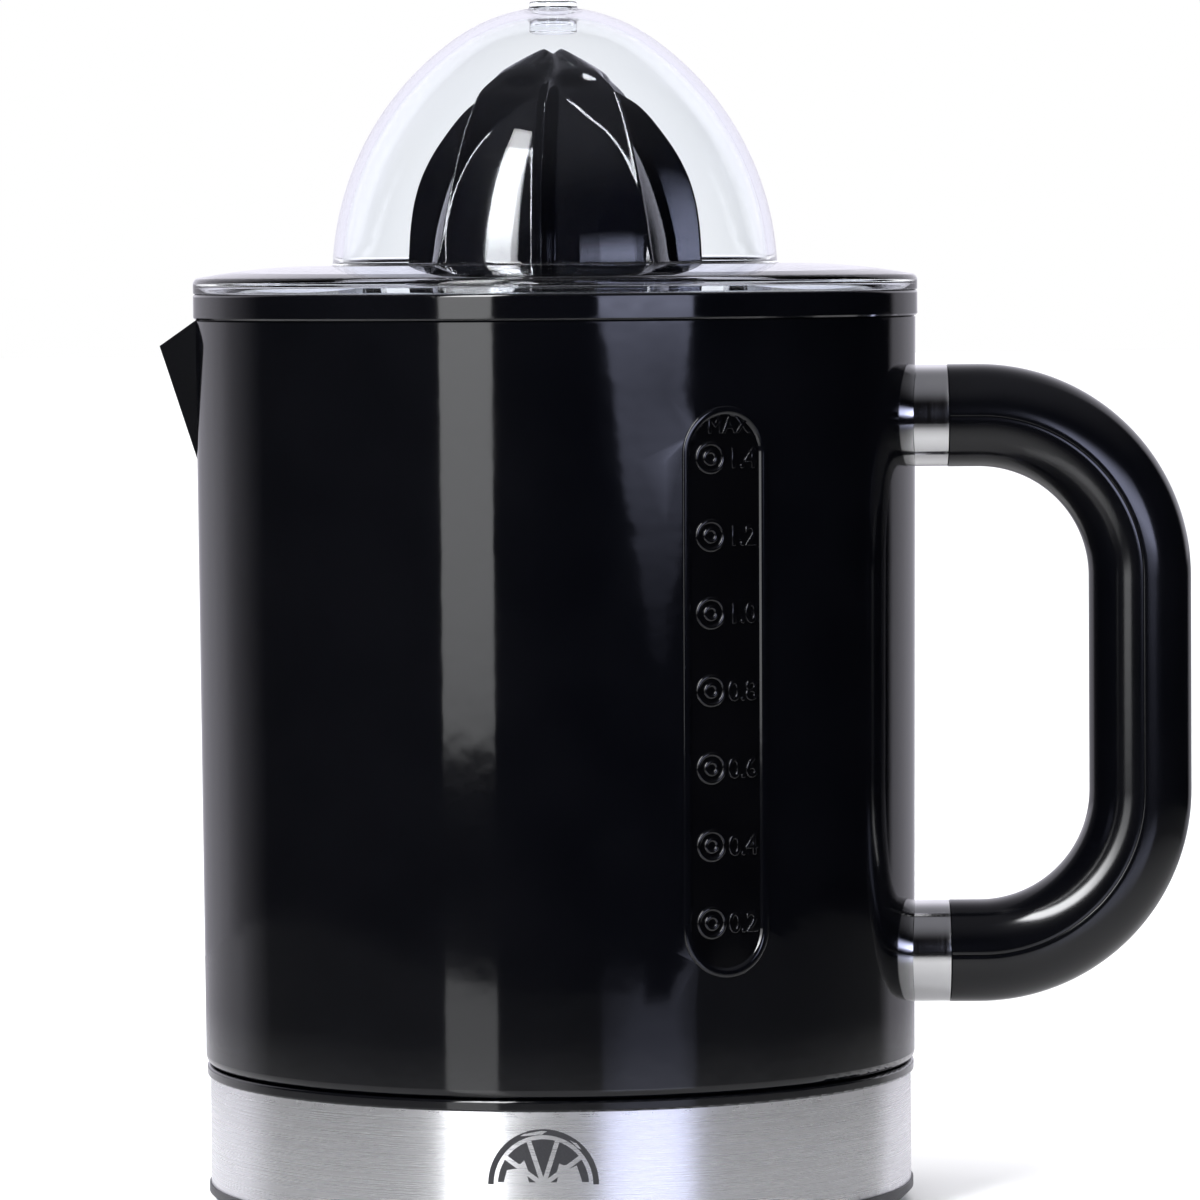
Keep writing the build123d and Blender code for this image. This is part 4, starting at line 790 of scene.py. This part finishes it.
def mark_ring(middle_z, ring_r):
    """Raised ring on the window."""
    height, sunk = 0.36, -0.05
    section = [(-ring_half, sunk)]
    section += [(-ring_half * cos(radians(18 * i)), height * sin(radians(18 * i))) for i in range(11)]
    section += [(ring_half, sunk)]
    rings = []
    steps = 64
    for i in range(steps):
        angle = 2 * pi * i / steps
        across, up = cos(angle), sin(angle)
        rings.append([
            on_window(mark_aside + (ring_r + away) * across, middle_z + (ring_r + away) * up, stand)
            for away, stand in section
        ])
    return lofted(rings, closed=True)


def raised_text(text, aside, middle_z, height):
    """Mesh of raised figures on the window."""
    curve = bpy.data.curves.new("figures", "FONT")
    curve.body = text
    capital_share = 0.72  # height of a capital letter, as a share of the type size
    curve.size = height / capital_share
    curve.align_x = "CENTER"
    curve.extrude = 0.03
    curve.bevel_depth = 0.17
    curve.bevel_resolution = 4
    holder = bpy.data.objects.new("figures", curve)
    scene.collection.objects.link(holder)
    bpy.context.view_layer.update()
    mesh = bpy.data.meshes.new_from_object(holder)
    low, stand = middle_z - height / 2, 0.12
    points = [on_window(aside + v.co.x, low + v.co.y, stand + v.co.z) for v in mesh.vertices]
    faces = [tuple(polygon.vertices) for polygon in mesh.polygons]
    bpy.data.objects.remove(holder)
    return points, faces


def joined(parts):
    """One list of points and one of faces from the (points, faces) of several parts."""
    points, faces = [], []
    for part_points, part_faces in parts:
        first = len(points)
        points.extend(part_points)
        faces.extend(tuple(first + number for number in face) for face in part_faces)
    return points, faces


def level_marks():
    """Rings and litre figures up the window, and the word for the highest level over them."""
    parts = []
    for i in range(mark_count):
        middle_z = first_mark_z + i * mark_step
        parts.append(mark_ring(middle_z, mark_out_r - ring_half))
        parts.append(mark_ring(middle_z, mark_in_r - ring_half))
        parts.append(raised_text(f"{0.2 * (i + 1):.1f}", number_aside, middle_z, number_height))
    last_mark_z = first_mark_z + (mark_count - 1) * mark_step
    parts.append(raised_text("MAX", 0.6, last_mark_z + 6.2, 3.0))
    points, faces = joined(parts)
    return piece("level_marks", points, faces, "smoked_window", "jug")


# ---------------------------------------------------------------- printed mark on the band
band_r = node_box("steel_band")[1].x
mark_azimuth = radians(-92.5)
mark_z = 12.6  # flat side of the half slice
rim_r, rim_width = 10.5, 1.1
wedge_count = 5
print_height = 0.04


def on_band(aside, up, stand):
    """Point on the band: aside round it from the mark's middle, up from the mark's foot."""
    angle = mark_azimuth + aside / band_r
    return (band_r + stand) * cos(angle), (band_r + stand) * sin(angle), mark_z + up


def printed(outline):
    """Points and faces of a thin printed patch; outline runs (aside, up) round it."""
    count = len(outline)
    points = [on_band(x, y, stand) for stand in (0.0, print_height) for x, y in outline]
    faces = [tuple(range(count)), tuple(range(2 * count - 1, count - 1, -1))]
    faces += [(i, (i + 1) % count, count + (i + 1) % count, count + i) for i in range(count)]
    return points, faces


def citrus_mark():
    """Half slice of fruit: a rim and five wedges, in dark print."""
    turn = [radians(180 * i / 60) for i in range(61)]
    rim = [(rim_r * cos(a), rim_r * sin(a)) for a in turn]
    rim += [((rim_r - rim_width) * cos(a), (rim_r - rim_width) * sin(a)) for a in reversed(turn)]
    outlines = [rim]
    wedge_r, gap = rim_r - rim_width - 0.8, 0.45
    for i in range(wedge_count):
        start, end = radians(180 * i / wedge_count), radians(180 * (i + 1) / wedge_count)
        middle = (start + end) / 2
        tip = gap / sin((end - start) / 2)
        inset = gap / wedge_r
        steps = 10
        swing = end - start - 2 * inset
        sweep = [start + inset + swing * k / steps for k in range(steps + 1)]
        wedge = [(tip * cos(middle), tip * sin(middle))]
        wedge += [(wedge_r * cos(a), wedge_r * sin(a)) for a in sweep]
        outlines.append(wedge)
    points, faces = joined([printed(outline) for outline in outlines])
    return piece("citrus_mark", points, faces, "satin_black", "base")


# ---------------------------------------------------------------- stage: floor, lights, world, camera
def stage_mesh(name, points, faces, material):
    """Mesh of the studio, from points in millimetres; it isn't part of the object."""
    mesh = bpy.data.meshes.new(name)
    mesh.from_pydata([Vector(point) * MM for point in points], [], faces)
    mesh.materials.append(material)
    made = bpy.data.objects.new(name, mesh)
    scene.collection.objects.link(made)
    return made


def floor_sheet(name, half_x, half_y, near, far, roughness, specular):
    """Oval sheet of floor under the object; its albedo goes from near to far away from the object, and a near
    brighter than far paints a pool of light round it.
    """
    material = bpy.data.materials.new(name)
    material.use_nodes = True
    tree = material.node_tree
    shader = tree.nodes["Principled BSDF"]
    shader.inputs["Roughness"].default_value = roughness
    shader.inputs["Specular IOR Level"].default_value = specular
    away = node(tree, "VectorMath", {"operation": "LENGTH"})
    tree.links.new(place(tree), away.inputs[0])
    # albedo changes with distance from the axis; on the table top this is a painted pool of light, bright
    # round the object and dark far off
    near_end, far_end = 150 * MM, 380 * MM
    level = spread(tree, away.outputs["Value"], near_end, far_end, near, far)
    mottle = spread(tree, noise(tree, 12, 3), 0.3, 0.7, 0.98, 1.02)
    wire(tree, shader, Base_Color=sums(tree, "MULTIPLY", level, mottle))
    segments = 128
    angles = [2 * pi * i / segments for i in range(segments)]
    rim = [(half_x * cos(angle), half_y * sin(angle), 0) for angle in angles]
    return stage_mesh(name, rim, [tuple(range(segments))], material)


def make_floor():
    """White floor for the eye, and under it the glossy table top that the object mirrors, with a painted pool
    of light: bright round the object, dark far off.
    """
    floor = floor_sheet("floor", 12000, 12000, 0.84, 0.84, 0.8, 0.0)
    floor.visible_glossy = False
    floor.visible_shadow = False
    # painted pool of light: the table top's albedo is 0.72 round the object and 0.07 far off
    table = floor_sheet("table_top", 640, 490, 0.72, 0.07, 0.16, 0.4)
    table.visible_camera = False
    table.visible_diffuse = False
    table.visible_transmission = False
    table.visible_shadow = False


def softbox(name, azimuth, width, profile, colour, taper=None):
    """Upright light panel that faces the axis. azimuth: degrees from the front towards the handle.

    profile has (height, radiance) steps. taper is (height, left, right): below that height the sides
    close in, by these shares of half the width at the panel's foot.
    """
    distance = 1200
    low, high = profile[0][0], profile[-1][0]
    peak = max(radiance for height, radiance in profile)
    half = width / 2
    material = bpy.data.materials.new(name)
    material.use_nodes = True
    tree = material.node_tree
    tree.nodes.clear()
    split = node(tree, "SeparateXYZ", Vector=place(tree))
    level = ramp(
        tree, spread(tree, split.outputs["Z"], low * MM, high * MM),
        [((height - low) / (high - low), radiance / peak) for height, radiance in profile],
    )
    share = level
    if taper:
        top, left, right = taper
        soft = 12 * MM
        shut = spread(tree, split.outputs["Z"], top * MM, low * MM)
        for side, closing in ((-1, left), (1, right)):
            edge = sums(tree, "MULTIPLY_ADD", shut, -half * closing * MM, half * MM)
            away = sums(tree, "MULTIPLY", split.outputs["X"], side)
            inside = sums(tree, "DIVIDE", sums(tree, "SUBTRACT", edge, away), soft)
            inside.node.use_clamp = True
            share = sums(tree, "MULTIPLY", share, inside)
    glow = node(tree, "Emission", Color=(*colour, 1), Strength=sums(tree, "MULTIPLY", share, peak))
    output = tree.nodes.new("ShaderNodeOutputMaterial")
    tree.links.new(glow.outputs[0], output.inputs["Surface"])
    points = [(-half, 0, low), (half, 0, low), (half, 0, high), (-half, 0, high)]
    panel = stage_mesh(name, points, [(0, 1, 2, 3)], material)
    angle = radians(azimuth)
    panel.matrix_world = (
        Matrix.Translation(Vector((distance * sin(angle), -distance * cos(angle), 0)) * MM)
        @ Matrix.Rotation(angle, 4, "Z")
    )
    panel.visible_camera = False
    return panel


def floor_light():
    """Soft even light from above that brightens matt surfaces, such as the floor, and isn't mirrored."""
    light = bpy.data.lights.new("overhead", "SUN")
    light.energy = 4.0
    light.angle = radians(100)
    holder = bpy.data.objects.new("overhead", light)
    scene.collection.objects.link(holder)
    holder.visible_camera = False
    holder.visible_glossy = False
    holder.visible_transmission = False
    return holder


def make_world():
    """White behind the object; in reflections a dark room, brighter to the rear and overhead."""
    world = bpy.data.worlds.new("studio")
    scene.world = world
    world.use_nodes = True
    world.cycles.sampling_method = "NONE"
    tree = world.node_tree
    tree.nodes.clear()
    direction = node(tree, "SeparateXYZ", Vector=node(tree, "TexCoord").outputs["Generated"])
    ahead = sums(tree, "MULTIPLY", direction.outputs["Y"], -1)
    azimuth = sums(tree, "ARCTAN2", direction.outputs["X"], ahead)
    turn = spread(tree, azimuth, -pi, pi)
    # (azimuth from the front towards the handle, radiance), below and above the horizon
    low_steps = [
        (-180, 0.85), (-164, 0.45), (-150, 0.52), (-143, 0.56), (-134, 0.52), (-126, 0.33), (-118, 0.20),
        (-111, 0.08), (-107, 0.03), (-40, 0.04), (10, 0.0), (133, 0.0), (137, 0.4), (150, 0.47), (164, 0.45),
        (180, 0.85),
    ]
    high_steps = [
        (-180, 1.0), (-125, 0.9), (-107, 0.03), (-40, 0.04), (10, 0.0), (126, 0.0), (135, 0.9), (180, 1.0),
    ]
    tint = (0.97, 0.95, 1.06)
    low_room, high_room = (
        ramp(tree, turn, [
            ((step + 180) / 360, tuple(part * radiance for part in tint)) for step, radiance in steps
        ])
        for steps in (low_steps, high_steps)
    )
    room = node(tree, "Mix", {"data_type": "RGBA"}, Factor=spread(tree, direction.outputs["Z"], 0.0, 0.012))
    tree.links.new(low_room, room.inputs[6])
    tree.links.new(high_room, room.inputs[7])
    overhead = node(
        tree, "MapRange", {"interpolation_type": "SMOOTHSTEP"},
        Value=direction.outputs["Z"], From_Min=0.45, From_Max=1.0,
    )
    shade = node(tree, "Mix", {"data_type": "RGBA"}, Factor=overhead.outputs["Result"])
    tree.links.new(room.outputs[2], shade.inputs[6])
    shade.inputs[7].default_value = (0.2, 0.2, 0.22, 1)
    path = node(tree, "LightPath")
    few_glossy = sums(tree, "LESS_THAN", path.outputs["Glossy Depth"], 0.5)
    few_diffuse = sums(tree, "LESS_THAN", path.outputs["Diffuse Depth"], 0.5)
    direct = sums(tree, "MULTIPLY", few_glossy, few_diffuse)
    through = sums(tree, "MULTIPLY", path.outputs["Is Transmission Ray"], direct)
    seen = sums(tree, "MAXIMUM", path.outputs["Is Camera Ray"], through)
    final = node(tree, "Mix", {"data_type": "RGBA"}, Factor=seen)
    tree.links.new(shade.outputs[2], final.inputs[6])
    final.inputs[7].default_value = (1, 1, 1, 1)
    background = node(tree, "Background", Color=final.outputs[2], Strength=1.0)
    output = tree.nodes.new("ShaderNodeOutputWorld")
    tree.links.new(background.outputs[0], output.inputs["Surface"])


def make_camera():
    """Camera in front of the object, a little above it and looking slightly down."""
    camera = bpy.data.cameras.new("view")
    camera.sensor_width = 36
    camera.lens = 205.4
    camera.clip_end = 100
    holder = bpy.data.objects.new("view", camera)
    scene.collection.objects.link(holder)
    spot = Vector((8.4, -1349, 186.3))
    pitch, roll = 87.15, -0.4
    holder.matrix_world = (
        Matrix.Translation(spot * MM)
        @ Matrix.Rotation(radians(pitch), 4, "X")
        @ Matrix.Rotation(radians(roll), 4, "Z")
    )
    scene.camera = holder


scene.view_settings.view_transform = "Standard"
make_materials()
dust_cover()
reamer_cone()
handle_shell("handle_outer_half", 1, "handle_outer_shell")
handle_shell("handle_inner_half", -1, "handle_inner_shell")
window_bead()
level_marks()
citrus_mark()
make_floor()
softbox(
    "strip_light", -27.2, 346,
    [(2, 2.1), (45, 2.7), (100, 3.05), (160, 3.5), (230, 4), (420, 12), (700, 22), (2150, 24)],
    (0.97, 0.98, 1.0),
)
softbox(
    "side_light", 28.0, 643,
    [(28, 0.0), (60, 0.36), (101, 1.15), (145, 2.0), (160, 2.8), (175, 4.9), (200, 6.2), (330, 5.0),
     (470, 1.5), (560, 0.0)],
    (0.68, 0.72, 1.0), taper=(160, 1.15, 0.75),
)
floor_light()
make_world()
make_camera()
